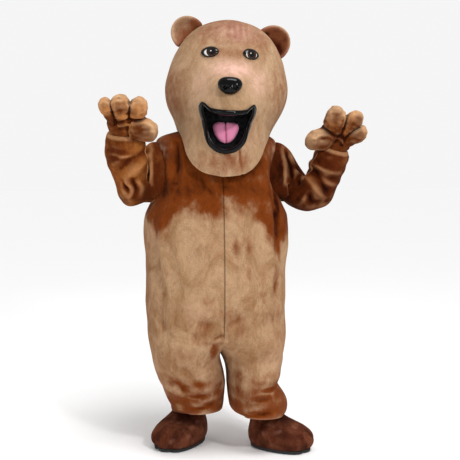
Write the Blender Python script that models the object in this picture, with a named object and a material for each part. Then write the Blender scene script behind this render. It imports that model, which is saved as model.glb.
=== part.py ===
"""A bear costume as worn: a plush suit, a big hollow head, gloves and boots.

Metres, +Z up. Heights in the tables are above the floor, and the finished points are lowered so that the
origin is the middle of the shoulder line. The front faces -Y. Left is the side at -X.
"""
import math

import bmesh
import bpy
import numpy as np
from mathutils import Matrix, Vector

SHOULDER_HEIGHT = 1.300
SEAM_GAP = 0.0003
SUIT_WALL = 0.005
HEAD_WALL = 0.012
GLOVE_WALL = 0.005
BOOT_WALL = 0.006
LEFT = -1
RIGHT = 1

# Suit, torso: height, half width on each side, depth in front and behind, and how square the section is.
TORSO_COLUMNS = ("height", "left", "right", "front", "back", "power")
TORSO = (
    (1.338, 0.112, 0.114, 0.085, 0.090, 2.0),
    (1.326, 0.150, 0.152, 0.112, 0.115, 2.0),
    (1.316, 0.192, 0.198, 0.128, 0.134, 2.1),
    (1.304, 0.226, 0.230, 0.142, 0.146, 2.2),
    (1.286, 0.246, 0.250, 0.157, 0.160, 2.3),
    (1.255, 0.250, 0.254, 0.176, 0.178, 2.4),
    (1.200, 0.243, 0.249, 0.200, 0.194, 2.4),
    (1.130, 0.240, 0.247, 0.222, 0.208, 2.4),
    (1.070, 0.250, 0.256, 0.241, 0.218, 2.4),
    (1.030, 0.272, 0.274, 0.249, 0.222, 2.4),
    (0.985, 0.293, 0.295, 0.257, 0.226, 2.4),
    (0.930, 0.300, 0.303, 0.265, 0.230, 2.4),
    (0.860, 0.299, 0.303, 0.272, 0.233, 2.4),
    (0.780, 0.292, 0.290, 0.277, 0.236, 2.4),
    (0.690, 0.291, 0.288, 0.278, 0.240, 2.4),
    (0.600, 0.293, 0.291, 0.273, 0.243, 2.4),
    (0.520, 0.287, 0.290, 0.262, 0.240, 2.4),
    (0.470, 0.282, 0.289, 0.250, 0.232, 2.4),
    (0.400, 0.271, 0.284, 0.226, 0.212, 2.3),
)
# Suit, legs: height, outer edge and inner edge, depth in front and behind, and the middle of the depth.
LEG_COLUMNS = ("height", "outer", "inner", "front", "back", "middle")
LEFT_LEG = (
    (0.400, -0.2710, 0.0125, 0.226, 0.212, 0.000),
    (0.370, -0.2660, 0.0220, 0.214, 0.202, 0.002),
    (0.330, -0.2560, 0.0335, 0.200, 0.188, 0.006),
    (0.295, -0.2440, 0.0375, 0.188, 0.176, 0.010),
    (0.265, -0.2300, 0.0380, 0.180, 0.166, 0.020),
    (0.235, -0.2180, 0.0380, 0.172, 0.158, 0.028),
    (0.205, -0.2040, 0.0385, 0.164, 0.150, 0.038),
    (0.185, -0.1960, 0.0380, 0.160, 0.146, 0.044),
    (0.168, -0.1900, 0.0370, 0.158, 0.142, 0.050),
    (0.150, -0.1780, 0.0320, 0.150, 0.132, 0.056),
    (0.138, -0.1700, 0.0220, 0.140, 0.124, 0.060),
)
RIGHT_LEG = (
    (0.400, 0.2840, 0.0155, 0.226, 0.212, 0.000),
    (0.370, 0.2820, 0.0270, 0.218, 0.202, -0.006),
    (0.330, 0.2700, 0.0400, 0.208, 0.186, -0.014),
    (0.295, 0.2520, 0.0430, 0.196, 0.172, -0.022),
    (0.265, 0.2560, 0.0440, 0.190, 0.166, -0.028),
    (0.235, 0.2820, 0.0450, 0.188, 0.168, -0.034),
    (0.205, 0.2930, 0.0470, 0.180, 0.160, -0.040),
    (0.185, 0.2940, 0.0500, 0.172, 0.152, -0.044),
    (0.168, 0.2860, 0.0560, 0.166, 0.144, -0.048),
    (0.150, 0.2880, 0.0680, 0.160, 0.138, -0.052),
    (0.134, 0.2900, 0.0850, 0.150, 0.128, -0.055),
)
LEGS = {LEFT: LEFT_LEG, RIGHT: RIGHT_LEG}
CROTCH_TOP = 0.555
CROTCH_LOW = 0.400
SEAM_AT_CROTCH = 0.014
NECK_HEIGHT = 1.338
ARMHOLE_MIDDLE = 1.157
ARMHOLE_HALF_HEIGHT = 0.129
ARMHOLE_TURN = 30.0
ARMHOLE_STEPS = 8
FRONT_COLUMNS = 10
BACK_COLUMNS = 7

# Largest folds of the suit, as troughs (negative) or rolls along a line on the front or the back.
FOLD_STRENGTH = 1.3
FOLD_COLUMNS = ("face", "x0", "z0", "x1", "z1", "width", "push")
FOLDS = (
    ("front", -0.205, 1.250, -0.175, 1.110, 0.020, -0.008),
    ("front", -0.100, 1.150, -0.035, 1.060, 0.020, -0.007),
    ("front", -0.060, 1.130, 0.010, 1.040, 0.022, 0.005),
    ("front", 0.215, 1.220, 0.225, 0.840, 0.022, -0.014),
    ("front", 0.180, 1.120, 0.190, 0.930, 0.024, 0.007),
    ("front", -0.262, 0.985, -0.215, 0.690, 0.024, -0.010),
    ("front", -0.215, 0.960, -0.170, 0.740, 0.028, 0.006),
    ("front", 0.060, 0.600, 0.150, 0.500, 0.024, -0.007),
    ("front", -0.060, 0.590, -0.160, 0.480, 0.024, -0.007),
    ("front", 0.120, 0.900, 0.100, 0.700, 0.035, 0.006),
    ("front", -0.080, 0.880, -0.100, 0.660, 0.035, 0.005),
    ("front", -0.180, 0.330, -0.080, 0.300, 0.020, -0.009),
    ("front", -0.150, 0.190, 0.000, 0.205, 0.019, -0.012),
    ("front", -0.120, 0.245, 0.010, 0.235, 0.016, 0.007),
    ("front", 0.120, 0.215, 0.250, 0.235, 0.019, -0.012),
    ("front", 0.090, 0.170, 0.200, 0.190, 0.018, -0.010),
    ("front", 0.100, 0.290, 0.240, 0.270, 0.018, 0.008),
    ("back", -0.190, 1.180, -0.150, 0.980, 0.022, -0.008),
    ("back", 0.180, 1.160, 0.150, 0.950, 0.022, -0.009),
    ("back", -0.120, 0.860, 0.060, 0.820, 0.026, -0.008),
    ("back", -0.040, 0.760, 0.150, 0.790, 0.026, 0.006),
    ("back", -0.210, 0.560, -0.060, 0.480, 0.024, -0.008),
    ("back", 0.220, 0.550, 0.070, 0.470, 0.024, -0.009),
    ("back", -0.150, 0.220, 0.000, 0.205, 0.016, -0.009),
    ("back", 0.110, 0.210, 0.250, 0.225, 0.016, -0.009),
)

# Sleeves, worn bent up with the hands raised: where the bend starts and its way, the wrist, the hand's way.
ELBOW_STEPS = 6
SLEEVE = {
    LEFT: {
        "elbow": (-0.298, -0.024, 1.132),
        "elbow_way": (-0.56, -0.34, -0.75),
        "wrist": (-0.377, -0.205, 1.312),
        "hand_way": (-0.04, -0.40, 0.91),
    },
    RIGHT: {
        "elbow": (0.328, -0.030, 1.106),
        "elbow_way": (0.56, -0.32, -0.76),
        "wrist": (0.445, -0.205, 1.262),
        "hand_way": (0.28, -0.40, 0.87),
    },
}
CROOK_RADIUS = 0.056
ELBOW_RADIUS = 0.094
ACROSS_RADIUS = 0.082
CAP_REACH = 0.052
# Forearm: share of the way from elbow to wrist, in-plane radius, across radius.
FOREARM = (
    (0.14, 0.080, 0.086),
    (0.28, 0.088, 0.090),
    (0.42, 0.079, 0.086),
    (0.56, 0.088, 0.090),
    (0.70, 0.080, 0.085),
    (0.82, 0.084, 0.085),
    (0.89, 0.082, 0.084),
)

# Gloves: rows up the hand from the wrist: height along the hand, half width, half thickness.
PALM = (
    (-0.014, 0.046, 0.032),
    (-0.007, 0.057, 0.043),
    (0.000, 0.062, 0.047),
    (0.024, 0.070, 0.046),
    (0.048, 0.074, 0.043),
    (0.070, 0.070, 0.038),
    (0.086, 0.052, 0.028),
)
PALM_POINTS = 16
# Digits: base and tip in hand terms: across the palm (+ toward the body), up the hand, toward the front,
# then the radius at the base and at the tip.
DIGITS = {
    LEFT: (
        ("small", -0.046, 0.066, 0.004, -0.084, 0.112, 0.034, 0.029, 0.033),
        ("middle", -0.006, 0.076, 0.004, -0.018, 0.130, 0.036, 0.030, 0.034),
        ("index", 0.034, 0.068, 0.004, 0.052, 0.114, 0.036, 0.029, 0.032),
        ("thumb", 0.040, 0.038, 0.010, 0.096, 0.034, 0.036, 0.028, 0.030),
    ),
    RIGHT: (
        ("small", -0.046, 0.060, 0.004, -0.080, 0.088, 0.040, 0.029, 0.033),
        ("middle", -0.012, 0.076, 0.004, -0.028, 0.130, 0.036, 0.030, 0.034),
        ("index", 0.032, 0.074, 0.004, 0.044, 0.136, 0.032, 0.029, 0.033),
        ("thumb", 0.040, 0.040, 0.010, 0.108, 0.054, 0.034, 0.028, 0.030),
    ),
}

# Boots: height, how far the section's middle lies toward the toe, half length, half width.
BOOT = (
    (0.0145, 0.000, 0.134, 0.086),
    (0.034, 0.003, 0.147, 0.098),
    (0.062, 0.002, 0.147, 0.099),
    (0.086, -0.012, 0.129, 0.093),
    (0.104, -0.034, 0.103, 0.082),
    (0.119, -0.054, 0.082, 0.073),
    (0.134, -0.066, 0.070, 0.066),
    (0.170, -0.072, 0.062, 0.062),
)
HEM_ON_BOOT = 0.134
SOLE_THICK = 0.014
FOOT = {
    LEFT: {"x": -0.148, "y": 0.032, "turn": 40.0},
    RIGHT: {"x": 0.266, "y": -0.074, "turn": -54.0},
}
TOE_GROOVES = (-20.0, 20.0)

# Head, in its own terms before it is turned: height, half width, front, back, and how square.
HEAD = (
    (1.7835, 0.020, 0.018, 0.022, 2.0),
    (1.779, 0.052, 0.046, 0.056, 2.0),
    (1.766, 0.098, 0.086, 0.105, 2.0),
    (1.742, 0.142, 0.124, 0.150, 2.0),
    (1.705, 0.180, 0.156, 0.188, 2.1),
    (1.663, 0.208, 0.178, 0.214, 2.1),
    (1.610, 0.231, 0.194, 0.236, 2.2),
    (1.555, 0.247, 0.204, 0.250, 2.2),
    (1.505, 0.256, 0.211, 0.257, 2.2),
    (1.455, 0.253, 0.215, 0.257, 2.2),
    (1.405, 0.235, 0.219, 0.248, 2.3),
    (1.355, 0.207, 0.224, 0.234, 2.4),
    (1.310, 0.191, 0.234, 0.222, 2.8),
    (1.250, 0.186, 0.246, 0.216, 3.2),
    (1.190, 0.184, 0.256, 0.216, 3.4),
    (1.120, 0.180, 0.262, 0.216, 3.4),
)
HEAD_X = 0.042
HEAD_TURN = 5.6
HEAD_TILT = 3.0
HEAD_LEAN = 4.0
HEAD_COLUMNS = 18
HEAD_ROWS = (1.781, 1.768, 1.745, 1.712, 1.672, 1.628, 1.588, 1.550, 1.512, 1.475, 1.438, 1.402, 1.366, 1.334)
BIB_ROWS = 4
# Lower edge of the head: angle from the front, height.
HEAD_RIM = (
    (0, 1.142),
    (7, 1.145),
    (16, 1.156),
    (26, 1.174),
    (36, 1.200),
    (45, 1.228),
    (55, 1.262),
    (70, 1.300),
    (90, 1.318),
    (108, 1.316),
    (130, 1.285),
    (155, 1.245),
    (180, 1.235),
)
# Muzzle: height, how far it stands out, its half width.
MUZZLE = (
    (1.640, 0.000, 0.072),
    (1.585, 0.018, 0.078),
    (1.540, 0.058, 0.090),
    (1.500, 0.102, 0.106),
    (1.462, 0.124, 0.122),
    (1.415, 0.127, 0.134),
    (1.360, 0.106, 0.136),
    (1.300, 0.076, 0.132),
    (1.240, 0.047, 0.124),
    (1.180, 0.020, 0.118),
    (1.120, 0.004, 0.118),
)
MOUTH_HALF = (
    (0.000, 1.4050),
    (0.032, 1.4070),
    (0.064, 1.4085),
    (0.090, 1.4220),
    (0.104, 1.4215),
    (0.113, 1.4080),
    (0.108, 1.3750),
    (0.095, 1.3320),
    (0.078, 1.2920),
    (0.055, 1.2600),
    (0.028, 1.2430),
    (0.000, 1.2390),
)
MOUTH_DEPTH = 0.050
NOSE_HALF = (
    (0.000, 0.034),
    (0.024, 0.034),
    (0.044, 0.024),
    (0.050, 0.008),
    (0.044, -0.010),
    (0.026, -0.026),
    (0.010, -0.034),
    (0.000, -0.036),
)
NOSE_HEIGHT = 1.487
EYE_X = 0.082
EYE_HEIGHT = 1.628
EYE_HALF_WIDTH = 0.036
EYE_HALF_HEIGHT = 0.023
EAR_X = 0.172
EAR_HEIGHT = 1.722

PLUSH_TAN = (0.42, 0.23, 0.11, 1.0)
PLUSH_BROWN = (0.26, 0.10, 0.035, 1.0)
PLUSH_LIGHT = (0.50, 0.32, 0.18, 1.0)
PLUSH_DARK = (0.10, 0.032, 0.016, 1.0)
BLACK = (0.006, 0.006, 0.007, 1.0)
PINK = (0.74, 0.22, 0.38, 1.0)


for item in list(bpy.data.objects):
    bpy.data.objects.remove(item, do_unlink=True)
costume = bpy.data.collections.new("bear_costume")
bpy.context.scene.collection.children.link(costume)
cutters = bpy.data.collections.new("cutters")
bpy.context.scene.collection.children.link(cutters)


def curve_at(table, place, column):
    """A column of a table at a place between its rows, as a smooth curve that never overshoots a row."""
    rows = sorted(table)
    places = [row[0] for row in rows]
    values = [row[column] for row in rows]
    if place <= places[0]:
        return values[0]
    if place >= places[-1]:
        return values[-1]
    count = len(places)
    slopes = [(values[i + 1] - values[i]) / (places[i + 1] - places[i]) for i in range(count - 1)]
    i = int(np.searchsorted(places, place, side="right")) - 1
    tangents = []
    for k in (i, i + 1):
        if k == 0:
            tangents.append(slopes[0])
        elif k == count - 1:
            tangents.append(slopes[-1])
        elif slopes[k - 1] * slopes[k] <= 0:
            tangents.append(0.0)
        else:
            tangents.append(2 * slopes[k - 1] * slopes[k] / (slopes[k - 1] + slopes[k]))
    span = places[i + 1] - places[i]
    t = (place - places[i]) / span
    start = (1 + 2 * t) * (1 - t) ** 2 * values[i] + t * (1 - t) ** 2 * span * tangents[0]
    end = t * t * (3 - 2 * t) * values[i + 1] + t * t * (t - 1) * span * tangents[1]
    return start + end


def unit(vector):
    vector = np.asarray(vector, float)
    return vector / np.linalg.norm(vector)


def rounded(value, power):
    return math.copysign(abs(value) ** (2.0 / power), value)


def add_piece(name, points, faces, colour, roughness, cutter=False):
    mesh = bpy.data.meshes.new(name)
    lowered = [(float(p[0]), float(p[1]), float(p[2]) - SHOULDER_HEIGHT) for p in points]
    mesh.from_pydata(lowered, [], faces)
    work = bmesh.new()
    work.from_mesh(mesh)
    bmesh.ops.remove_doubles(work, verts=work.verts, dist=0.000002)
    bmesh.ops.recalc_face_normals(work, faces=work.faces)
    if work.calc_volume(signed=True) < 0:
        bmesh.ops.reverse_faces(work, faces=work.faces)
    bmesh.ops.triangulate(work, faces=work.faces)
    work.to_mesh(mesh)
    work.free()
    for polygon in mesh.polygons:
        polygon.use_smooth = True
    item = bpy.data.objects.new(name, mesh)
    if cutter:
        cutters.objects.link(item)
        item.hide_render = True
        item.display_type = "WIRE"
        return item
    costume.objects.link(item)
    material = bpy.data.materials.new(name)
    material.use_nodes = True
    shader = material.node_tree.nodes["Principled BSDF"]
    shader.inputs["Base Color"].default_value = colour
    shader.inputs["Roughness"].default_value = roughness
    mesh.materials.append(material)
    return item


def cut(item, cutter, how="DIFFERENCE"):
    modifier = item.modifiers.new("cut", "BOOLEAN")
    modifier.operation = how
    modifier.solver = "EXACT"
    modifier.object = cutter
    bpy.context.view_layer.objects.active = item
    with bpy.context.temp_override(object=item, active_object=item, selected_objects=[item]):
        bpy.ops.object.modifier_apply(modifier="cut")
    cutter.hide_render = True


def shell(outer, inner, closed):
    """Points and faces of a wall between two grids of like size, open at both ends of its rows."""
    outer = np.asarray(outer, float)
    inner = np.asarray(inner, float)
    rows, columns = outer.shape[:2]
    points = [tuple(p) for p in outer.reshape(-1, 3)] + [tuple(p) for p in inner.reshape(-1, 3)]
    half = rows * columns
    faces = []
    last = columns if closed else columns - 1
    for r in range(rows - 1):
        for c in range(last):
            d = (c + 1) % columns
            quad = (r * columns + c, r * columns + d, (r + 1) * columns + d, (r + 1) * columns + c)
            faces.append(quad)
            faces.append(tuple(half + k for k in reversed(quad)))
    for c in range(last):
        d = (c + 1) % columns
        faces.append((c, half + c, half + d, d))
        end = (rows - 1) * columns
        faces.append((end + d, half + end + d, half + end + c, end + c))
    if not closed:
        for r in range(rows - 1):
            a = r * columns
            b = (r + 1) * columns
            faces.append((a, b, half + b, half + a))
            a += columns - 1
            b += columns - 1
            faces.append((b, a, half + a, half + b))
    return points, faces


def stack(rings, cap_start=True, cap_end=True):
    """Points and faces of a closed body through rings of like size, with flat or pointed ends."""
    rings = [np.asarray(ring, float) for ring in rings]
    columns = len(rings[0])
    points = [tuple(p) for ring in rings for p in ring]
    faces = []
    for r in range(len(rings) - 1):
        for c in range(columns):
            d = (c + 1) % columns
            faces.append((r * columns + c, r * columns + d, (r + 1) * columns + d, (r + 1) * columns + c))
    for capped, ring, base in ((cap_start, rings[0], 0), (cap_end, rings[-1], (len(rings) - 1) * columns)):
        if capped:
            points.append(tuple(ring.mean(axis=0)))
            for c in range(columns):
                faces.append((base + c, base + (c + 1) % columns, len(points) - 1))
    return points, faces


# Suit panels

def fold_push(x, z, face):
    total = 0.0
    for row in FOLDS:
        if row[0] != face:
            continue
        start = np.array(row[1:3])
        along = np.array(row[3:5]) - start
        t = float(np.clip(np.dot(np.array((x, z)) - start, along) / np.dot(along, along), 0.0, 1.0))
        away = np.linalg.norm(np.array((x, z)) - start - t * along)
        taper = math.sin(math.pi * (0.12 + 0.76 * t))
        total += FOLD_STRENGTH * row[6] * taper * math.exp(-((away / row[5]) ** 2))
    return total


def seam_x(z):
    t = min(1.0, max(0.0, (CROTCH_TOP - z) / (CROTCH_TOP - CROTCH_LOW)))
    return SEAM_AT_CROTCH * t * t


def suit_section(side, z):
    """Inner edge, centre offset, half width, front, back, middle, power, and the angle where a row starts."""
    if z < CROTCH_LOW:
        table = LEGS[side]
        outer = curve_at(table, z, 1)
        inner = curve_at(table, z, 2)
        half = abs(outer - inner) / 2
        power = 2.3
        front = curve_at(table, z, 3)
        back = curve_at(table, z, 4)
        middle = curve_at(table, z, 5)
        return inner, half, half, front, back, middle, power, 0.0
    width = curve_at(TORSO, z, 1 if side == LEFT else 2)
    front = curve_at(TORSO, z, 3)
    back = curve_at(TORSO, z, 4)
    power = curve_at(TORSO, z, 5)
    x = seam_x(z)
    width = width - side * x
    if z >= CROTCH_TOP:
        return x, 0.0, width, front, back, 0.0, power, 90.0
    t = (z - CROTCH_LOW) / (CROTCH_TOP - CROTCH_LOW)
    share = (1 - t) ** 2 * (1 + 2 * t)
    cosine = share ** (power / 2)
    sine = math.sqrt(max(0.0, 1 - cosine * cosine))
    half = width / (1 + share)
    return x, share * half, half, front, back, 0.0, power, math.degrees(math.atan2(sine, cosine))


def suit_point(side, z, turn):
    """A point of the outer face. turn runs in degrees from the inner front, 0 or 90, by the outer side, 180,
    to the inner back."""
    inner, offset, half, front, back, middle, power, _ = suit_section(side, z)
    cosine = math.cos(math.radians(turn))
    sine = math.sin(math.radians(turn))
    along = rounded(cosine, power)
    across = rounded(sine, power)
    depth = front if sine >= 0 else back
    x = inner + side * (offset - half * along)
    y = middle - depth * across
    face = "front" if sine >= 0 else "back"
    quiet = min(1.0, abs(across) * 1.6)
    push = fold_push(x, z, face) * quiet
    way = np.array((-side * along / half, -across / depth, 0.0))
    way = way / max(1e-9, np.linalg.norm(way))
    return np.array((x, y, z)) + push * way


def suit_normal(side, z, turn):
    step = 1.5
    start = suit_section(side, z)[7]
    low = max(turn - step, start)
    high = min(turn + step, 360 - start)
    around = suit_point(side, z, high) - suit_point(side, z, low)
    rise = 0.006
    top = min(NECK_HEIGHT, z + rise)
    bottom = z - rise
    up = suit_point(side, top, turn) - suit_point(side, bottom, turn)
    normal = np.cross(around, up) * side
    if z >= CROTCH_TOP and (turn <= start + 0.01 or turn >= 360 - start - 0.01):
        normal[0] = 0.0
    return unit(normal)


def armhole_turn(z):
    t = (z - ARMHOLE_MIDDLE) / ARMHOLE_HALF_HEIGHT
    return ARMHOLE_TURN * math.sqrt(max(0.0, 1 - t * t)) if abs(t) < 1 else 0.0


ARMHOLE_HEIGHTS = [
    ARMHOLE_MIDDLE + ARMHOLE_HALF_HEIGHT * math.sin(math.radians(-90 + 180 * k / ARMHOLE_STEPS))
    for k in range(ARMHOLE_STEPS + 1)
]
CROTCH_HEIGHTS = [
    CROTCH_LOW + (CROTCH_TOP - CROTCH_LOW) * share for share in (0.10, 0.28, 0.50, 0.75, 1.0)
]
ROW_HEIGHTS = (
    [1.338, 1.328, 1.316, 1.305, 1.294]
    + ARMHOLE_HEIGHTS[::-1]
    + [0.990, 0.940, 0.880, 0.820, 0.760, 0.700, 0.645, 0.595]
    + CROTCH_HEIGHTS[::-1]
    + [0.3995, 0.365, 0.325, 0.288, 0.258, 0.232, 0.208, 0.184, 0.160]
)


def boot_axes(side):
    turn = math.radians(FOOT[side]["turn"])
    toe_way = np.array((-math.sin(turn), -math.cos(turn), 0.0))
    wide_way = np.array((math.cos(turn), -math.sin(turn), 0.0))
    middle = np.array((FOOT[side]["x"], FOOT[side]["y"], 0.0))
    return middle, toe_way, wide_way


def boot_point(side, z, turn, grow=0.0, grooves=True):
    """A point of the boot's outer face: turn is measured from the toe."""
    middle, toe_way, wide_way = boot_axes(side)
    cosine = math.cos(math.radians(turn))
    sine = math.sin(math.radians(turn))
    ahead = curve_at(BOOT, z, 1)
    reach = curve_at(BOOT, z, 2)
    wide = curve_at(BOOT, z, 3)
    dent = 0.0
    if grooves and abs(turn) < 75 and z < 0.112:
        near = min(abs(turn - place) for place in TOE_GROOVES)
        dent = 0.014 * math.exp(-((near / 8.0) ** 2)) * min(1.0, (0.118 - z) / 0.02)
    power = 2.0 + 0.35 * min(1.0, max(0.0, (0.125 - z) / 0.03))
    along = ahead + (reach + grow - dent) * rounded(cosine, power)
    across = (wide + grow - dent * 0.4) * rounded(sine, power)
    return middle + along * toe_way + across * wide_way + np.array((0.0, 0.0, z))


def hem_points(side, turns, space):
    """The trouser hem's lower ring, drawn in round the boot: outer and inner points for the panel's turns."""
    outer = []
    inner = []
    _, toe_way, wide_way = boot_axes(side)
    for turn in turns:
        a = math.radians(turn)
        way = np.array((-side * math.cos(a), -math.sin(a), 0.0))
        boot_turn = math.degrees(math.atan2(float(way @ wide_way), float(way @ toe_way)))
        base = boot_point(side, HEM_ON_BOOT, boot_turn, grow=space, grooves=False)
        inner.append(base)
        outer.append(boot_point(side, HEM_ON_BOOT, boot_turn, grow=space + SUIT_WALL, grooves=False))
    return outer, inner


def suit_panel(name, side, face):
    columns = FRONT_COLUMNS if face == "front" else BACK_COLUMNS
    outer = []
    inner = []
    for z in ROW_HEIGHTS:
        start = suit_section(side, z)[7]
        reach = armhole_turn(z)
        if face == "front":
            turns = np.linspace(start, 180 - reach, columns)
        else:
            turns = np.linspace(180 + reach, 360 - start, columns)
        outer.append([suit_point(side, z, t) for t in turns])
        inner.append([p - SUIT_WALL * suit_normal(side, z, t) for p, t in zip(outer[-1], turns)])
    turns = np.linspace(0, 180, columns) if face == "front" else np.linspace(180, 360, columns)
    hem_outer, hem_inner = hem_points(side, turns, 0.0024 if face == "front" else 0.0038)
    outer.append(hem_outer)
    inner.append(hem_inner)
    outer = np.array(outer)
    inner = np.array(inner)
    for grid in (outer, inner):
        for edge, neighbour in ((0, 1), (-1, -2)):
            way = grid[:, neighbour] - grid[:, edge]
            way = way / np.linalg.norm(way, axis=1)[:, None]
            grid[:, edge] += way * (SEAM_GAP / 2 + 0.00002)
    points, faces = shell(outer, inner, closed=False)
    return add_piece(name, points, faces, PLUSH_TAN, 0.9)


for side, word in ((LEFT, "left"), (RIGHT, "right")):
    suit_panel(f"front_{word}", side, "front")
    suit_panel(f"back_{word}", side, "back")


# Sleeves

def armhole_ring(side):
    """Points of the armhole from its lowest point by the front to the top and back down, outer and inner."""
    outer = []
    inner = []
    for z in ARMHOLE_HEIGHTS:
        turn = 180 - armhole_turn(z)
        outer.append(suit_point(side, z, turn))
        inner.append(outer[-1] - SUIT_WALL * suit_normal(side, z, turn))
    for z in ARMHOLE_HEIGHTS[-2:0:-1]:
        turn = 180 + armhole_turn(z)
        outer.append(suit_point(side, z, turn))
        inner.append(outer[-1] - SUIT_WALL * suit_normal(side, z, turn))
    outer = np.array(outer)
    inner = np.array(inner)
    middle = outer.mean(axis=0)
    normals = outer - inner
    normals = normals / np.linalg.norm(normals, axis=1)[:, None]
    way = middle - outer
    way = way - normals * np.sum(way * normals, axis=1)[:, None]
    way = way / np.linalg.norm(way, axis=1)[:, None]
    return outer + way * SEAM_GAP, inner + way * SEAM_GAP


def turned(vector, axis, angle):
    return np.array(Matrix.Rotation(angle, 3, Vector(axis)) @ Vector(vector))


def sleeve_path(side):
    """Rings of the sleeve: centre, front way, up way and the three radii."""
    shape = SLEEVE[side]
    first_way = unit(shape["elbow_way"])
    elbow = np.array(shape["elbow"])
    wrist = np.array(shape["wrist"])
    hand_way = unit(shape["hand_way"])
    pivot = elbow.copy()
    last_way = unit(wrist - elbow)
    for _ in range(12):
        axis = unit(np.cross(first_way, last_way))
        crook = np.cross(axis, first_way)
        pivot = elbow + (CROOK_RADIUS + 0.010) * crook
        angle = math.acos(float(np.clip(first_way @ last_way, -1, 1)))
        end = pivot - (CROOK_RADIUS + 0.010) * turned(crook, axis, angle)
        last_way = unit(wrist - end)
    rings = []
    side_way = axis
    for k in range(ELBOW_STEPS + 1):
        bend = angle * k / ELBOW_STEPS
        way = turned(first_way, axis, bend)
        near = turned(crook, axis, bend)
        bulge = ELBOW_RADIUS + (0.006 if k % 2 else -0.004)
        centre = pivot - (CROOK_RADIUS + 0.010) * near
        rings.append((centre, way, near, side_way, CROOK_RADIUS, bulge, ACROSS_RADIUS))
    start = rings[-1][0]
    near = rings[-1][2]
    for share, plane, across in FOREARM:
        centre = start + share * (wrist - start)
        blend = max(0.0, share - 0.3) / 0.7
        way = unit(last_way * (1 - blend) + hand_way * blend)
        near_here = unit(near - way * (near @ way))
        side_here = np.cross(way, near_here) * -1
        rings.append((centre, way, near_here, side_here, plane, plane, across))
    return rings, wrist, hand_way


def hand_axes(side):
    """Wrist, the way up the hand, across the palm toward the body, and the way the palm faces."""
    shape = SLEEVE[side]
    wrist = np.array(shape["wrist"])
    up = unit(shape["hand_way"])
    palm = unit(np.array((0.10 * side, -1.0, 0.0)))
    palm = unit(palm - up * (palm @ up))
    across = unit(np.cross(up, palm))
    if across[0] * side > 0:
        across = -across
    return wrist, up, across, palm


def palm_ring(side, row, grow, count):
    wrist, up, across, palm = hand_axes(side)
    height, wide, thick = row
    ring = []
    for k in range(count):
        a = 2 * math.pi * k / count
        x = (wide + grow) * rounded(math.cos(a), 2.3)
        y = (thick + grow) * rounded(math.sin(a), 2.3)
        ring.append(wrist + up * height + across * x + palm * y)
    return ring


def sleeve(name, side):
    ring_outer, ring_inner = armhole_ring(side)
    count = len(ring_outer)
    rings, wrist, hand_way = sleeve_path(side)
    middle = ring_outer.mean(axis=0)
    cap = ring_outer + np.array((side * CAP_REACH, 0.0, -0.004)) - (ring_outer - middle) * 0.03
    cap[:, 0] = cap[:, 0] * 0.3 + (middle[0] + side * CAP_REACH) * 0.7
    cap_middle = cap.mean(axis=0)
    cap_ways = (cap - cap_middle) / np.linalg.norm(cap - cap_middle, axis=1)[:, None]
    outer = [ring_outer, cap]
    inner = [ring_inner, cap - cap_ways * SUIT_WALL]
    spokes = cap - cap_middle
    for centre, way, near, side_way, near_radius, far_radius, across_radius in rings:
        row = []
        row_inner = []
        for k in range(count):
            spoke = spokes[k] - way * (spokes[k] @ way)
            spoke = unit(spoke)
            u = float(spoke @ near)
            v = float(spoke @ side_way)
            angle = math.atan2(v, u)
            plane = near_radius if u > 0 else far_radius
            row.append(centre + near * plane * math.cos(angle) + side_way * across_radius * math.sin(angle))
            plane -= SUIT_WALL
            wide = across_radius - SUIT_WALL
            row_inner.append(centre + near * plane * math.cos(angle) + side_way * wide * math.sin(angle))
        outer.append(np.array(row))
        inner.append(np.array(row_inner))
        spokes = np.array([p - centre for p in row])
    wrist_point, up, across, palm = hand_axes(side)
    angles = [math.atan2(float(spoke @ palm), float(spoke @ across)) for spoke in spokes]
    step = 2 * math.pi / count
    first = round(angles[0] / step)
    turn_sign = 1 if math.sin(angles[1] - angles[0]) > 0 else -1
    for height, extra in ((-0.007, 0.009), (0.002, 0.0)):
        row = []
        row_inner = []
        base = wrist_point + up * height
        wide = float(np.interp(height, [k[0] for k in PALM], [k[1] for k in PALM])) + SEAM_GAP * 1.6 + extra
        thick = float(np.interp(height, [k[0] for k in PALM], [k[2] for k in PALM])) + SEAM_GAP * 1.6 + extra
        for k in range(count):
            a = (first + turn_sign * k) * step
            x = rounded(math.cos(a), 2.3)
            y = rounded(math.sin(a), 2.3)
            wall = SUIT_WALL + extra * 0.5
            row_inner.append(base + across * wide * x + palm * thick * y)
            row.append(base + across * (wide + wall) * x + palm * (thick + wall) * y)
        outer.append(np.array(row))
        inner.append(np.array(row_inner))
    points, faces = shell(outer, inner, closed=True)
    return add_piece(name, points, faces, PLUSH_BROWN, 0.9)


for side, word in ((LEFT, "left"), (RIGHT, "right")):
    sleeve(f"sleeve_{word}", side)


# Gloves

def digit_body(name, side, row, shrink, count):
    wrist, up, across, palm = hand_axes(side)
    _, x0, h0, f0, x1, h1, f1, base_radius, tip_radius = row
    start = wrist + across * x0 + up * h0 + palm * f0
    end = wrist + across * x1 + up * h1 + palm * f1
    way = unit(end - start)
    first = unit(np.cross(way, palm))
    second = np.cross(way, first)
    base_radius -= shrink
    tip_radius -= shrink
    rings = []
    for share, scale in ((-0.35, 0.55), (0.0, 0.95), (1.0, 1.0), (None, 0.84), (None, 0.48)):
        if share is None:
            lift = tip_radius * math.sqrt(1 - scale * scale)
            centre = end + way * lift
            radius = tip_radius * scale
        else:
            centre = start + (end - start) * share
            radius = (base_radius + (tip_radius - base_radius) * max(0.0, share)) * scale
        ring = []
        for k in range(count):
            a = 2 * math.pi * k / count
            ring.append(centre + first * radius * math.cos(a) + second * radius * math.sin(a))
        rings.append(ring)
    points, faces = stack(rings)
    tip = end + way * tip_radius
    points[-1] = tuple(tip)
    return add_piece(name, points, faces, PLUSH_TAN, 0.9, cutter=True)


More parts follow.
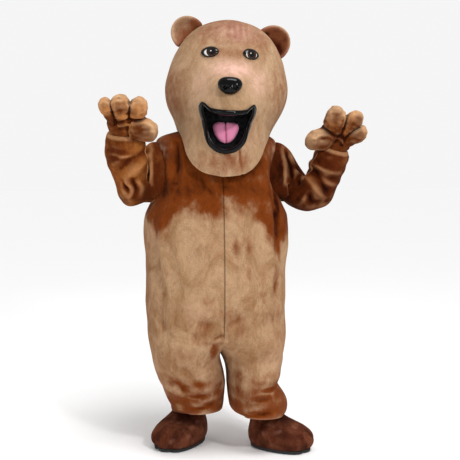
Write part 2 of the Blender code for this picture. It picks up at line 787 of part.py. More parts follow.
def palm_body(name, side, shrink, count, cutter):
    rows = [list(row) for row in PALM]
    if shrink:
        rows[0][0] -= 0.008
        rows[-1][0] -= shrink
    rings = [palm_ring(side, row, -shrink, count) for row in rows]
    points, faces = stack(rings)
    return add_piece(name, points, faces, PLUSH_TAN, 0.9, cutter=cutter)


def glove(name, side):
    body = palm_body(name, side, 0.0, PALM_POINTS, False)
    hollow = palm_body(f"{name}_hollow", side, GLOVE_WALL, 9, True)
    for row in DIGITS[side]:
        cut(body, digit_body(f"{name}_{row[0]}", side, row, 0.0, 9), "UNION")
        cut(hollow, digit_body(f"{name}_{row[0]}_hollow", side, row, GLOVE_WALL, 6), "UNION")
    cut(body, hollow)
    return body


for side, word in ((LEFT, "left"), (RIGHT, "right")):
    glove(f"glove_{word}", side)


# Boots

def boot(name, sole_name, side):
    front_turns = [-90, -68, -52, -40, -28, -20, -12, 0, 12, 20, 28, 40, 52, 68, 90]
    turns = [-180, -160, -140, -115, *front_turns, 115, 140, 160]
    outer = []
    inner = []
    for row in BOOT:
        z = row[0]
        outer.append([boot_point(side, z, t) for t in turns])
        inner.append([boot_point(side, z, t, grow=-BOOT_WALL) for t in turns])
    points, faces = shell(outer, inner, closed=True)
    add_piece(name, points, faces, PLUSH_DARK, 0.9)
    rings = []
    for z, grow in ((0.0, -0.004), (0.003, 0.0), (SOLE_THICK, 0.001)):
        ring = [boot_point(side, 0.0145, t, grow=grow) for t in turns]
        rings.append([np.array((p[0], p[1], z)) for p in ring])
    points, faces = stack(rings)
    add_piece(sole_name, points, faces, BLACK, 0.6)


for side, word in ((LEFT, "left"), (RIGHT, "right")):
    boot(f"boot_{word}", f"sole_{word}", side)


# Head

def muzzle(x, z):
    tall = curve_at(MUZZLE, z, 1)
    wide = curve_at(MUZZLE, z, 2)
    return tall * math.exp(-(abs(x / wide) ** 2.5))


def head_point(z, turn):
    """A point of the head's outer face in its own terms: turn in degrees from the front, + to the right."""
    wide = curve_at(HEAD, z, 1)
    front = curve_at(HEAD, z, 2)
    back = curve_at(HEAD, z, 3)
    power = curve_at(HEAD, z, 4)
    sine = math.sin(math.radians(turn))
    cosine = math.cos(math.radians(turn))
    x = wide * rounded(sine, power)
    y = -(front if cosine >= 0 else back) * rounded(cosine, power)
    if cosine > 0:
        y -= muzzle(x, z) * min(1.0, cosine * 3.0)
    return np.array((x, y, z))


def head_normal(z, turn):
    around = head_point(z, turn + 1.5) - head_point(z, turn - 1.5)
    up = head_point(z + 0.004, turn) - head_point(z - 0.004, turn)
    normal = np.cross(around, up)
    if abs(turn) < 0.01 or abs(abs(turn) - 180) < 0.01:
        normal[0] = 0.0
    return unit(normal)


def placed(point):
    """From the head's own terms to the costume's."""
    tilt = math.radians(HEAD_TILT)
    turn = math.radians(-HEAD_TURN)
    x, y, z = point
    rise = z - 1.45
    lean = math.tan(math.radians(HEAD_LEAN))
    x, rise = x + rise * lean, rise - x * math.sin(tilt)
    x, y = x * math.cos(turn) - y * math.sin(turn), x * math.sin(turn) + y * math.cos(turn)
    return np.array((x + HEAD_X, y, rise + 1.45))


def torso_top(x, y):
    """Height of the suit's shoulder under a point, or none where the point is clear of the suit."""
    side = RIGHT if x >= 0 else LEFT
    for z in np.arange(NECK_HEIGHT, 1.10, -0.002):
        wide = curve_at(TORSO, z, 1 if side == LEFT else 2)
        deep = curve_at(TORSO, z, 3 if y < 0 else 4)
        power = curve_at(TORSO, z, 5)
        if abs(x / wide) ** power + abs(y / deep) ** power <= 1.0:
            return float(z)
    return -1.0


def rim_height(turn):
    z = curve_at(HEAD_RIM, abs(turn), 1)
    for _ in range(6):
        highest = z
        for depth in (0.0, HEAD_WALL):
            point = placed(head_point(z, turn) - depth * head_normal(z, turn))
            need = torso_top(point[0], point[1]) + 0.0060
            if point[2] < need:
                highest = max(highest, z + need - point[2])
        z = highest
    return z


def head_grid(turns, away, rims):
    grid = []
    for z in HEAD_ROWS:
        grid.append([placed(head_point(z, t) + away * head_normal(z, t)) for t in turns])
    for k in range(1, BIB_ROWS + 1):
        row = []
        for t, rim in zip(turns, rims):
            z = HEAD_ROWS[-1] + (rim - HEAD_ROWS[-1]) * k / BIB_ROWS
            row.append(placed(head_point(z, t) + away * head_normal(z, t)))
        grid.append(row)
    return grid


HALF_TURNS = [180 * k / (HEAD_COLUMNS - 1) for k in range(HEAD_COLUMNS)]
RIMS = {side: [rim_height(side * t) for t in HALF_TURNS] for side in (LEFT, RIGHT)}


def head_half(name, side):
    turns = [side * t for t in HALF_TURNS]
    outer = head_grid(turns, 0.0, RIMS[side])
    inner = head_grid(turns, -HEAD_WALL, RIMS[side])
    top = placed((0.0, 0.0, 1.7838))
    low = placed((0.0, 0.0, 1.7838 - HEAD_WALL))
    outer = np.array([[top] * len(turns)] + outer)
    inner = np.array([[low] * len(turns)] + inner)
    away = placed((side * 1.0, 0.0, 1.5)) - placed((0.0, 0.0, 1.5))
    away = unit(away) * (SEAM_GAP / 2 + 0.00002)
    for grid in (outer, inner):
        grid[:, 0] += away
        grid[:, -1] += away
        grid[0, 1:-1] += away
    points, faces = shell(outer, inner, closed=False)
    return add_piece(name, points, faces, PLUSH_LIGHT, 0.9)


def head_volume(name, away):
    """The whole head as one filled body, used to seat what lies on its face."""
    turns = [-t for t in reversed(HALF_TURNS)][1:] + HALF_TURNS[1:]
    rims = list(reversed(RIMS[LEFT]))[1:] + RIMS[RIGHT][1:]
    grid = head_grid(turns, away, rims)
    points, faces = stack(grid)
    points[-2] = tuple(placed((0.0, 0.0, 1.7838 + away)))
    return add_piece(name, points, faces, PLUSH_LIGHT, 0.9, cutter=True)


def mirrored(half):
    """A closed outline from its right half, listed from the top down."""
    return [tuple(row) for row in half] + [(-x, z) for x, z in reversed(half[1:-1])]


def spaced(outline, count):
    """The same closed outline through evenly spaced points."""
    points = np.array(list(outline) + [outline[0]])
    steps = np.linalg.norm(np.diff(points, axis=0), axis=1)
    reach = np.concatenate([[0.0], np.cumsum(steps)])
    places = np.linspace(0, reach[-1], count + 1)[:-1]
    return np.column_stack([np.interp(places, reach, points[:, 0]), np.interp(places, reach, points[:, 1])])


def outline_ways(outline):
    tangents = np.roll(outline, -1, axis=0) - np.roll(outline, 1, axis=0)
    ways = np.column_stack([tangents[:, 1], -tangents[:, 0]])
    ways = ways / np.linalg.norm(ways, axis=1)[:, None]
    middle = outline.mean(axis=0)
    if np.sum((outline - middle) * ways) < 0:
        ways = -ways
    return ways


def smoothed(outline, times):
    for _ in range(times):
        outline = 0.5 * outline + 0.25 * (np.roll(outline, 1, axis=0) + np.roll(outline, -1, axis=0))
    return outline


def face_y(x, z):
    """Depth of the face's front at a place, from the same section tables."""
    wide = curve_at(HEAD, z, 1)
    front = curve_at(HEAD, z, 2)
    power = curve_at(HEAD, z, 4)
    share = min(0.999, abs(x) / wide)
    return -front * (1 - share ** power) ** (1 / power) - muzzle(x, z)


MOUTH = smoothed(spaced(mirrored(MOUTH_HALF), 32), 1)
MOUTH_WAYS = outline_ways(MOUTH)
head_halves = [head_half("head_left", LEFT), head_half("head_right", RIGHT)]
seat = head_volume("head_seat", SEAM_GAP + 0.0001)

mouth_rings = []
for depth in (-0.50, -0.08):
    mouth_rings.append([placed((x, depth, z)) for x, z in MOUTH])
points, faces = stack(mouth_rings)
mouth_cutter = add_piece("mouth_cutter", points, faces, BLACK, 0.5, cutter=True)
for item in head_halves:
    cut(item, mouth_cutter)

# Lips with the side wall of the mouth: how far outside the hole's edge, and how far behind the face.
LIP_PROFILE = (
    (0.0130, -0.0016),
    (0.0125, -0.0070),
    (0.0075, -0.0125),
    (0.0000, -0.0135),
    (-0.0060, -0.0100),
    (-0.0085, -0.0020),
    (-0.0095, MOUTH_DEPTH),
    (-0.0060, MOUTH_DEPTH),
    (-0.0022, 0.0080),
    (-0.0006, -0.0016),
)
rings = []
for (x, z), (wx, wz) in zip(MOUTH, MOUTH_WAYS):
    ring = []
    for away, behind in LIP_PROFILE:
        px = x + wx * away
        pz = z + wz * away
        ring.append(placed((px, face_y(px, pz) + behind, pz)))
    rings.append(ring)
grid = np.array(rings)
count = len(grid)
width = len(LIP_PROFILE)
points = [tuple(p) for p in grid.reshape(-1, 3)]
faces = []
for r in range(count):
    for c in range(width):
        s = (r + 1) % count
        d = (c + 1) % width
        faces.append((r * width + c, s * width + c, s * width + d, r * width + d))
add_piece("mouth_lining", points, faces, BLACK, 0.15)

# Dark mesh that closes the back of the mouth, bowed away from the front.
middle = np.array((0.0, 1.330))


def mesh_depth(share, x, z):
    edge = face_y(x, z) + MOUTH_DEPTH + 0.0004
    return edge * share ** 2 + (-0.215) * (1 - share ** 2)


def mesh_outline(share):
    return middle + (MOUTH - MOUTH_WAYS * 0.0070 - middle) * share


MESH_SHARES = (1.0, 0.60, 0.001)


def mesh_layer(away):
    full = mesh_outline(1.0)
    layer = []
    for share in MESH_SHARES:
        ring = mesh_outline(share)
        depths = [mesh_depth(share, fx, fz) + away for fx, fz in full]
        layer.append([placed((x, d, z)) for (x, z), d in zip(ring, depths)])
    return layer


points, faces = stack(mesh_layer(0.0) + mesh_layer(0.0016)[::-1], cap_start=False, cap_end=False)
columns = len(MOUTH)
last = len(MESH_SHARES) * 2 - 1
for c in range(columns):
    faces.append((c, (c + 1) % columns, last * columns + (c + 1) % columns, last * columns + c))
add_piece("vision_mesh", points, faces, BLACK, 0.8)
points, faces = stack([mesh_layer(0.040)[0]] + mesh_layer(-0.0004))
mesh_seat = add_piece("mesh_seat", points, faces, BLACK, 0.8, cutter=True)

# Tongue: a soft pad with a groove down its middle, lying against the mesh.
TONGUE_HALF = (
    (0.000, 1.350),
    (0.020, 1.356),
    (0.042, 1.352),
    (0.053, 1.338),
    (0.050, 1.312),
    (0.040, 1.288),
    (0.024, 1.272),
    (0.000, 1.268),
)
tongue_edge = smoothed(spaced(mirrored(TONGUE_HALF), 22), 1)
tongue_middle = np.array((0.0, 1.315))


def mesh_y(x, z):
    """Front face of the mesh at a place inside the mouth."""
    way = np.array((x, z)) - middle
    full = mesh_outline(1.0)
    angles = np.arctan2(full[:, 1] - middle[1], full[:, 0] - middle[0])
    angle = math.atan2(way[1], way[0])
    nearest = int(np.argmin(np.abs(np.angle(np.exp(1j * (angles - angle))))))
    share = min(1.0, np.linalg.norm(way) / np.linalg.norm(full[nearest] - middle))
    return mesh_depth(share, full[nearest][0], full[nearest][1])


rings = []
TONGUE_RINGS = ((0.25, -0.006), (0.94, -0.006), (1.0, 0.008), (0.93, 0.018), (0.70, 0.027), (0.38, 0.030))
for share, thick in TONGUE_RINGS:
    ring = []
    for x, z in tongue_edge:
        place = tongue_middle + (np.array((x, z)) - tongue_middle) * share
        groove = 0.006 * math.exp(-((place[0] / 0.007) ** 2)) if thick > 0.01 else 0.0
        ring.append(placed((place[0], mesh_y(place[0], place[1]) - thick + groove, place[1])))
    rings.append(ring)
points, faces = stack(rings)
cut(add_piece("tongue", points, faces, PINK, 0.5), mesh_seat)

# Nose
nose_edge = smoothed(spaced(mirrored(NOSE_HALF), 20), 1)
rings = []
NOSE_RINGS = ((0.70, -0.035), (1.0, -0.012), (1.04, 0.008), (0.96, 0.022), (0.74, 0.032), (0.40, 0.037))
for scale, forward in NOSE_RINGS:
    ring = []
    for x, z in nose_edge:
        lean = 0.35 * z * (1.0 if forward > 0 else 0.4)
        y = face_y(0, NOSE_HEIGHT) - forward + lean * 0.4
        ring.append(placed((x * scale, y, NOSE_HEIGHT + z * scale)))
    rings.append(ring)
points, faces = stack(rings)
cut(add_piece("nose", points, faces, BLACK, 0.12), seat)

# Eyes
for side, word in ((LEFT, "left"), (RIGHT, "right")):
    rings = []
    centre_x = side * EYE_X
    centre_y = face_y(centre_x, EYE_HEIGHT)
    slope = (face_y(centre_x + 0.01, EYE_HEIGHT) - face_y(centre_x - 0.01, EYE_HEIGHT)) / 0.02
    rise = (face_y(centre_x, EYE_HEIGHT + 0.01) - face_y(centre_x, EYE_HEIGHT - 0.01)) / 0.02
    for scale, forward in ((0.6, -0.020), (1.0, -0.006), (1.0, 0.003), (0.86, 0.008), (0.55, 0.012)):
        ring = []
        for k in range(18):
            a = 2 * math.pi * k / 18
            x = EYE_HALF_WIDTH * scale * math.cos(a)
            z = EYE_HALF_HEIGHT * scale * math.copysign(abs(math.sin(a)) ** 1.15, math.sin(a))
            z -= side * x * 0.08
            y = centre_y + slope * x + rise * z - forward
            ring.append(placed((centre_x + x, y, EYE_HEIGHT + z)))
        rings.append(ring)
    points, faces = stack(rings)
    cut(add_piece(f"eye_{word}", points, faces, BLACK, 0.08), seat)

# Ears: round cushions, dished in front
EAR_RINGS = (
    (0.30, -0.034),
    (0.70, -0.030),
    (0.94, -0.016),
    (1.0, 0.0),
    (0.96, 0.014),
    (0.86, 0.018),
    (0.70, 0.008),
    (0.40, 0.000),
)
for side, word in ((LEFT, "left"), (RIGHT, "right")):
    rings = []
    middle_x = side * EAR_X
    out_way = unit((side * 0.72, 0.0, 0.70))
    up_way = unit((-side * 0.70, 0.0, 0.72))
    front_way = np.array((side * 0.10, -0.995, 0.0))
    centre = np.array((middle_x, 0.010, EAR_HEIGHT))
    for scale, forward in EAR_RINGS:
        ring = []
        for k in range(18):
            a = 2 * math.pi * k / 18
            across = 0.068 * scale * math.cos(a)
            out = 0.072 * scale * math.sin(a)
            ring.append(placed(centre + up_way * across + out_way * out + front_way * forward))
        rings.append(ring)
    points, faces = stack(rings)
    cut(add_piece(f"ear_{word}", points, faces, PLUSH_LIGHT, 0.9), seat)
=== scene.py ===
"""The look of a bear costume: a plush suit, a big soft head, gloves and boots, worn with the hands up."""

import math

import bmesh
import bpy
import numpy as np
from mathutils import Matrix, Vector, noise


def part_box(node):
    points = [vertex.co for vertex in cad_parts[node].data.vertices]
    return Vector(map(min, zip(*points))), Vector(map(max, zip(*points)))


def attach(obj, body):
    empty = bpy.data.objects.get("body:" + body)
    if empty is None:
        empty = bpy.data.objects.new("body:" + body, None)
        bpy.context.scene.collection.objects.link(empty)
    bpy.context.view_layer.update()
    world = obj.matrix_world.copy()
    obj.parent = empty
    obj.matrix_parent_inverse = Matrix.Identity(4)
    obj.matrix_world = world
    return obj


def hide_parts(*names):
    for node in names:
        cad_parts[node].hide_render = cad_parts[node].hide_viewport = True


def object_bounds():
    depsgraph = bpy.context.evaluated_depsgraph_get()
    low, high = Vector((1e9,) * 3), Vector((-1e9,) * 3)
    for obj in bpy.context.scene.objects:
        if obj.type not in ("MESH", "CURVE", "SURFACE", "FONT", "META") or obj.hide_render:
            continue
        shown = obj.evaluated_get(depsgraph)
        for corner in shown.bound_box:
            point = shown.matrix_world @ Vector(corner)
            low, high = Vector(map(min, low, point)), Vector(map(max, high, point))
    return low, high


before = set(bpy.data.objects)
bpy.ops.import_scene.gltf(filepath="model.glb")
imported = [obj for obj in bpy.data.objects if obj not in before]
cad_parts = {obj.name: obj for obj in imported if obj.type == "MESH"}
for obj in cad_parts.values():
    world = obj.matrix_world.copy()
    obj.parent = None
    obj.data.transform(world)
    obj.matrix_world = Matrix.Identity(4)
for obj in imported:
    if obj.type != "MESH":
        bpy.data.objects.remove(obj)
cad_low, cad_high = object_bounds()
bpy.context.scene.view_settings.view_transform = "Standard"

# Metres, in the frame of the solids: z is measured from the wearer's shoulder line, and the floor is below.
FLOOR = cad_low.z
LEFT = -1
RIGHT = 1
SIDE_NAMES = {LEFT: "left", RIGHT: "right"}
# The front faces -y.
OUTWARD = {"front": -1, "back": 1}

# Where the suit is sewn or worn tight.
NECK = 0.0
CROTCH = -0.790
HEM = -1.150
ARMHOLE_OUT = 0.235
ARMHOLE_LOW = -0.320

# How far below the form round it a place is fully in a fold, and how far above it, fully on a ridge.
FOLD = 0.006
RIDGE = 0.004
GLOVE_FOLD = 0.0025
GLOVE_RIDGE = 0.006

# Centre lines that the cloth is pushed away from or toward.
SUIT_LINE = ((0.0, 0.0, 0.10), (0.0, 0.0, -0.80))
LEG_LINES = {
    LEFT: ((-0.130, 0.000, -0.84), (-0.100, 0.060, -1.30)),
    RIGHT: ((0.150, -0.010, -0.84), (0.200, -0.060, -1.30)),
}
SLEEVE_LINES = {
    LEFT: ((-0.170, 0.000, -0.130), (-0.270, -0.010, -0.150), (-0.345, -0.085, -0.205),
           (-0.362, -0.140, -0.140), (-0.377, -0.205, 0.012)),
    RIGHT: ((0.170, 0.000, -0.130), (0.280, -0.010, -0.150), (0.375, -0.085, -0.235),
            (0.400, -0.135, -0.170), (0.445, -0.205, -0.038)),
}
HEAD_CENTRE = (0.042, 0.010, 0.150)
# Degrees that the head is turned, tilted and leaned by, as it is worn.
HEAD_TURN = 5.6
HEAD_TILT = 3.0
HEAD_LEAN = 4.0

# The way up each hand from the wrist, where its sleeve's line ends.
HAND_WAYS = {LEFT: (-0.04, -0.40, 0.91), RIGHT: (0.28, -0.40, 0.87)}
# Digits in hand terms: across the palm (+ toward the body), up the hand, and toward the front. Base, tip and
# radius are first as the solid has them, then as the stuffed glove fills them.
DIGITS = {
    LEFT: (
        ((-0.046, 0.066, 0.004), (-0.084, 0.112, 0.034), 0.031,
         (-0.036, 0.062, 0.006), (-0.068, 0.122, 0.036), 0.029),
        ((-0.006, 0.076, 0.004), (-0.018, 0.130, 0.036), 0.032,
         (-0.002, 0.064, 0.008), (-0.013, 0.132, 0.040), 0.038),
        ((0.034, 0.068, 0.004), (0.052, 0.114, 0.036), 0.031,
         (0.032, 0.058, 0.006), (0.054, 0.121, 0.038), 0.037),
        ((0.040, 0.038, 0.010), (0.096, 0.034, 0.036), 0.029,
         (0.030, 0.040, 0.022), (0.092, 0.024, 0.044), 0.044),
    ),
    RIGHT: (
        ((-0.046, 0.060, 0.004), (-0.080, 0.088, 0.040), 0.031,
         (-0.034, 0.050, 0.006), (-0.066, 0.094, 0.040), 0.036),
        ((-0.012, 0.076, 0.004), (-0.028, 0.130, 0.036), 0.032,
         (-0.006, 0.062, 0.006), (-0.027, 0.138, 0.036), 0.035),
        ((0.032, 0.074, 0.004), (0.044, 0.136, 0.032), 0.031,
         (0.026, 0.056, 0.008), (0.048, 0.134, 0.036), 0.040),
        ((0.040, 0.040, 0.010), (0.108, 0.054, 0.034), 0.029,
         (0.032, 0.034, 0.020), (0.096, 0.020, 0.044), 0.044),
    ),
}

# Creases: x and z where each starts, x and z where it ends, width and depth. A ridge's depth is negative.
SUIT_CREASES = {
    "front": (
        (-0.230, -0.042, -0.233, -0.255, 0.013, 0.018),
        (-0.205, -0.060, -0.206, -0.200, 0.012, -0.005),
        (-0.180, -0.014, -0.183, -0.180, 0.014, 0.013),
        (-0.158, -0.060, -0.140, -0.170, 0.014, -0.004),
        (-0.100, -0.145, 0.000, -0.282, 0.017, 0.009),
        (0.100, -0.150, 0.012, -0.280, 0.019, 0.005),
        (-0.140, -0.120, -0.060, -0.270, 0.020, 0.003),
        (0.012, -0.250, 0.060, -0.300, 0.014, 0.004),
        (0.226, -0.070, 0.222, -0.450, 0.015, 0.012),
        (0.192, -0.080, 0.196, -0.400, 0.016, -0.004),
        (0.110, -0.080, 0.140, -0.230, 0.018, 0.005),
        (-0.276, -0.330, -0.240, -0.620, 0.015, 0.018),
        (-0.246, -0.340, -0.208, -0.600, 0.016, -0.008),
        (-0.240, -0.640, -0.235, -0.800, 0.015, 0.009),
        (-0.150, -0.330, -0.130, -0.520, 0.022, 0.004),
        (0.120, -0.330, 0.150, -0.560, 0.024, 0.005),
        (0.235, -0.540, 0.222, -0.680, 0.018, 0.010),
        (-0.040, -0.786, 0.006, -0.794, 0.009, 0.010),
        (-0.015, -0.760, 0.110, -0.700, 0.018, 0.005),
        (-0.035, -0.750, -0.170, -0.690, 0.018, 0.005),
        (0.020, -0.820, 0.120, -0.880, 0.018, 0.004),
        (-0.213, -0.960, -0.140, -1.040, 0.017, 0.010),
        (-0.190, -0.930, -0.110, -1.010, 0.016, -0.005),
        (-0.150, -1.082, -0.012, -1.034, 0.018, 0.008),
        (-0.110, -1.035, -0.020, -0.995, 0.017, -0.004),
        (-0.130, -1.118, -0.036, -1.102, 0.014, 0.005),
        (0.120, -1.015, 0.262, -1.026, 0.019, 0.007),
        (0.130, -0.975, 0.270, -0.990, 0.020, -0.003),
        (0.100, -1.078, 0.215, -1.050, 0.018, 0.006),
        (0.092, -1.130, 0.240, -1.108, 0.017, 0.005),
    ),
    "back": (
        (-0.225, -0.070, -0.222, -0.300, 0.015, 0.012),
        (-0.190, -0.060, -0.170, -0.240, 0.016, -0.006),
        (0.222, -0.080, 0.215, -0.340, 0.015, 0.013),
        (0.185, -0.060, 0.165, -0.260, 0.016, -0.006),
        (-0.110, -0.120, -0.050, -0.280, 0.020, 0.007),
        (0.120, -0.110, 0.060, -0.250, 0.020, 0.006),
        (-0.170, -0.430, 0.020, -0.470, 0.020, 0.008),
        (-0.040, -0.510, 0.180, -0.480, 0.020, 0.008),
        (-0.260, -0.400, -0.230, -0.620, 0.018, 0.008),
        (0.262, -0.420, 0.235, -0.640, 0.018, 0.008),
        (-0.040, -0.740, -0.210, -0.820, 0.020, 0.010),
        (0.060, -0.750, 0.230, -0.840, 0.020, 0.010),
        (-0.160, -1.000, -0.020, -1.030, 0.016, 0.012),
        (-0.130, -1.080, 0.000, -1.060, 0.014, 0.010),
        (0.090, -1.030, 0.250, -1.000, 0.016, 0.012),
        (0.110, -1.090, 0.250, -1.070, 0.014, 0.011),
    ),
}
SLEEVE_CREASES = {
    LEFT: {
        "front": (
            (-0.292, -0.045, -0.420, -0.150, 0.014, 0.014),
            (-0.300, -0.085, -0.400, -0.200, 0.013, -0.006),
            (-0.455, 0.000, -0.320, -0.012, 0.011, 0.009),
            (-0.450, -0.032, -0.330, -0.048, 0.011, -0.006),
            (-0.450, -0.058, -0.325, -0.052, 0.010, 0.008),
            (-0.440, -0.098, -0.350, -0.088, 0.012, 0.006),
            (-0.405, -0.185, -0.372, -0.225, 0.010, 0.009),
            (-0.348, -0.170, -0.342, -0.240, 0.010, 0.009),
            (-0.320, -0.180, -0.306, -0.250, 0.010, -0.005),
            (-0.270, -0.020, -0.262, -0.230, 0.013, -0.007),
        ),
        "back": (
            (-0.300, -0.060, -0.420, -0.140, 0.015, 0.011),
            (-0.450, -0.010, -0.320, -0.030, 0.013, 0.009),
            (-0.440, -0.070, -0.330, -0.085, 0.013, 0.008),
            (-0.370, -0.150, -0.350, -0.230, 0.012, 0.009),
        ),
    },
    RIGHT: {
        "front": (
            (0.315, -0.110, 0.440, -0.210, 0.014, 0.014),
            (0.330, -0.150, 0.420, -0.240, 0.013, -0.006),
            (0.380, -0.075, 0.500, -0.108, 0.011, 0.010),
            (0.350, -0.110, 0.480, -0.142, 0.011, -0.006),
            (0.350, -0.140, 0.470, -0.172, 0.011, 0.008),
            (0.345, -0.235, 0.400, -0.270, 0.011, 0.008),
            (0.330, -0.190, 0.318, -0.300, 0.012, 0.009),
            (0.268, -0.050, 0.270, -0.260, 0.013, -0.008),
            (0.292, -0.060, 0.300, -0.240, 0.011, 0.009),
        ),
        "back": (
            (0.310, -0.090, 0.440, -0.190, 0.015, 0.011),
            (0.380, -0.085, 0.500, -0.120, 0.013, 0.009),
            (0.350, -0.160, 0.470, -0.180, 0.013, 0.008),
            (0.380, -0.200, 0.360, -0.280, 0.012, 0.009),
        ),
    },
}
HEAD_CREASES = {
    "front": (
        (0.064, 0.000, 0.064, -0.150, 0.005, 0.005),
        (0.030, 0.436, 0.032, 0.400, 0.010, 0.004),
        (0.056, 0.436, 0.056, 0.398, 0.010, 0.004),
        (0.078, 0.434, 0.080, 0.404, 0.010, 0.003),
        (-0.030, -0.016, 0.044, -0.082, 0.012, -0.006),
        (-0.040, -0.034, 0.040, -0.100, 0.012, 0.004),
    ),
}

# Darker patches, partly painted shade along creases, in hollows and between the legs, partly darker brushed
# pile:
# x and z of the middle, half width, half height, strength.
SUIT_PATCHES = (
    (-0.232, -0.150, 0.014, 0.120, 1.45),
    (-0.181, -0.090, 0.014, 0.090, 1.40),
    (0.234, -0.260, 0.014, 0.200, 1.80),
    (-0.045, -0.215, 0.030, 0.036, 1.10),
    (0.060, -0.140, 0.130, 0.040, 1.50),
    (-0.050, -0.130, 0.070, 0.030, 1.20),
    (0.010, -0.205, 0.060, 0.040, 1.30),
    (0.046, -0.430, 0.020, 0.046, 0.60),
    (0.094, -0.430, 0.016, 0.052, 0.60),
    (0.096, -0.540, 0.012, 0.040, 0.40),
    (0.216, -0.580, 0.022, 0.062, 0.60),
    (0.155, -0.628, 0.022, 0.018, 0.55),
    (-0.222, -0.532, 0.020, 0.024, 0.35),
    (-0.090, -0.440, 0.040, 0.030, 0.22),
    (-0.066, -0.640, 0.030, 0.030, 0.45),
    (0.010, -0.695, 0.060, 0.040, 0.38),
    (-0.060, -0.720, 0.050, 0.030, 0.30),
    (0.150, -0.705, 0.040, 0.016, 0.40),
    (0.165, -0.655, 0.020, 0.014, 0.45),
    (-0.035, -0.850, 0.024, 0.050, 0.95),
    (-0.060, -0.815, 0.060, 0.016, 0.55),
    (-0.185, -0.995, 0.050, 0.026, 0.65),
    (-0.070, -1.058, 0.058, 0.020, 0.90),
    (-0.020, -1.010, 0.030, 0.050, 0.60),
    (-0.080, -1.108, 0.050, 0.011, 0.80),
    (0.160, -1.052, 0.058, 0.020, 1.35),
    (0.200, -1.020, 0.060, 0.014, 1.25),
    (0.165, -1.118, 0.072, 0.018, 1.35),
    (-0.090, -1.052, 0.050, 0.016, 1.25),
    (-0.085, -1.112, 0.055, 0.011, 1.20),
    (0.120, -1.000, 0.030, 0.020, 0.40),
)
# Lower edge of the dark chest, which is painted shade under the head and darker brushed pile: across the
# front, height.
CHEST_EDGE = (
    (-0.300, -0.310),
    (-0.262, -0.370),
    (-0.225, -0.366),
    (-0.180, -0.290),
    (-0.150, -0.272),
    (-0.100, -0.285),
    (-0.040, -0.330),
    (0.000, -0.290),
    (0.030, -0.268),
    (0.110, -0.280),
    (0.150, -0.315),
    (0.180, -0.400),
    (0.212, -0.480),
    (0.240, -0.420),
    (0.300, -0.360),
)
# The edge's height on the back, and the heights between which thighs and shins grow darker downward.
BACK_EDGE = -0.315
THIGH_FADE = (-0.50, -0.75)
SHIN_FADE = (-0.82, -1.16)

# Patches in the same terms: a painted highlight at the top of each shoulder, and where the left elbow is
# drawn in.
SHOULDER_HIGHLIGHT = ((0.232, -0.055, 0.022, 0.035, 0.55),)
LEFT_ELBOW = ((-0.440, -0.205, 0.055, 0.070, 1.00),)
# Patches on the head, in its own terms: a dark stain beside the jaw, darker on the chin, and painted shade
# round the eyes; and then painted pinkish highlights on the bridge, the brow and both cheeks.
HEAD_STAINS_AND_SHADE = (
    (0.115, -0.120, 0.030, 0.050, 0.28),
    (0.000, -0.255, 0.130, 0.055, 0.58),
    (0.000, 0.180, 0.150, 0.040, 0.45),
)
HEAD_HIGHLIGHTS = (
    (0.012, 0.110, 0.085, 0.032, 1.10),
    (0.020, 0.270, 0.085, 0.050, 0.34),
    (0.120, 0.070, 0.035, 0.050, 0.50),
    (-0.110, 0.050, 0.035, 0.060, 0.30),
)
# How far the sides of the mouth are drawn in, by height in the head's own terms.
MOUTH_TAPER = (
    (-0.215, 0.000),
    (-0.180, 0.005),
    (-0.142, 0.012),
    (-0.094, 0.017),
    (-0.050, 0.008),
    (-0.025, 0.000),
)
# Ears: their radius and the cup's depth, then how much each grows, how it moves, and how dark its cup and
# its root are: the cup is darker plush with painted shade, and the root has painted shade by the head.
EAR_RADIUS = 0.066
EAR_CUP = 0.012
EARS = {
    LEFT: (1.06, (-0.002, 0.0, 0.0), 0.28, 1.00),
    RIGHT: (1.13, (0.004, 0.0, -0.022), 1.00, 1.20),
}
# How dark each sleeve and hand is overall.
SLEEVE_SHADE = {LEFT: 0.50, RIGHT: 1.08}
HAND_SHADE = {LEFT: 0.52, RIGHT: 0.80}
# Eyes: the reach of the painted iris, then how far each is off the middle, and each eye's width and shift.
IRIS_REACH = 0.040
EYES = {LEFT: (0.006, 1.00, 0.0), RIGHT: (0.001, 0.92, -0.001)}


# Colour and node helpers

def colour(code):
    """Linear colour from an sRGB hex value."""
    parts = [int(code[k:k + 2], 16) / 255 for k in (1, 3, 5)]
    linear = [p / 12.92 if p <= 0.04045 else ((p + 0.055) / 1.055) ** 2.4 for p in parts]
    return (*linear, 1.0)


def add_node(tree, kind, settings=None, links=None):
    """One shader node with its settings and its links from other nodes' outputs."""
    made = tree.nodes.new("ShaderNode" + kind)
    for name, value in (settings or {}).items():
        if isinstance(name, int) or name in made.inputs:
            made.inputs[name].default_value = value
        else:
            setattr(made, name, value)
    for name, source in (links or {}).items():
        tree.links.new(source, made.inputs[name])
    return made


def new_material(name):
    """A material, its empty tree, and the place on the piece that its patterns follow."""
    material = bpy.data.materials.new(name)
    material.use_nodes = True
    tree = material.node_tree
    tree.nodes.clear()
    return material, tree, add_node(tree, "TexCoord").outputs["Object"]


def finish_material(tree, settings, links):
    shader = add_node(tree, "BsdfPrincipled", settings, links)
    add_node(tree, "OutputMaterial", links={"Surface": shader.outputs["BSDF"]})


# The plush: a stroke of the brush, the ragged edge of a darker patch, and a clump of pile. Its tips stand
# about 1 mm apart and are drawn as 3 mm tufts, so that they show from a step away.
STROKE = 0.090
RAGGED_EDGE = 0.030
CLUMP = 0.014
TUFT = 0.0034


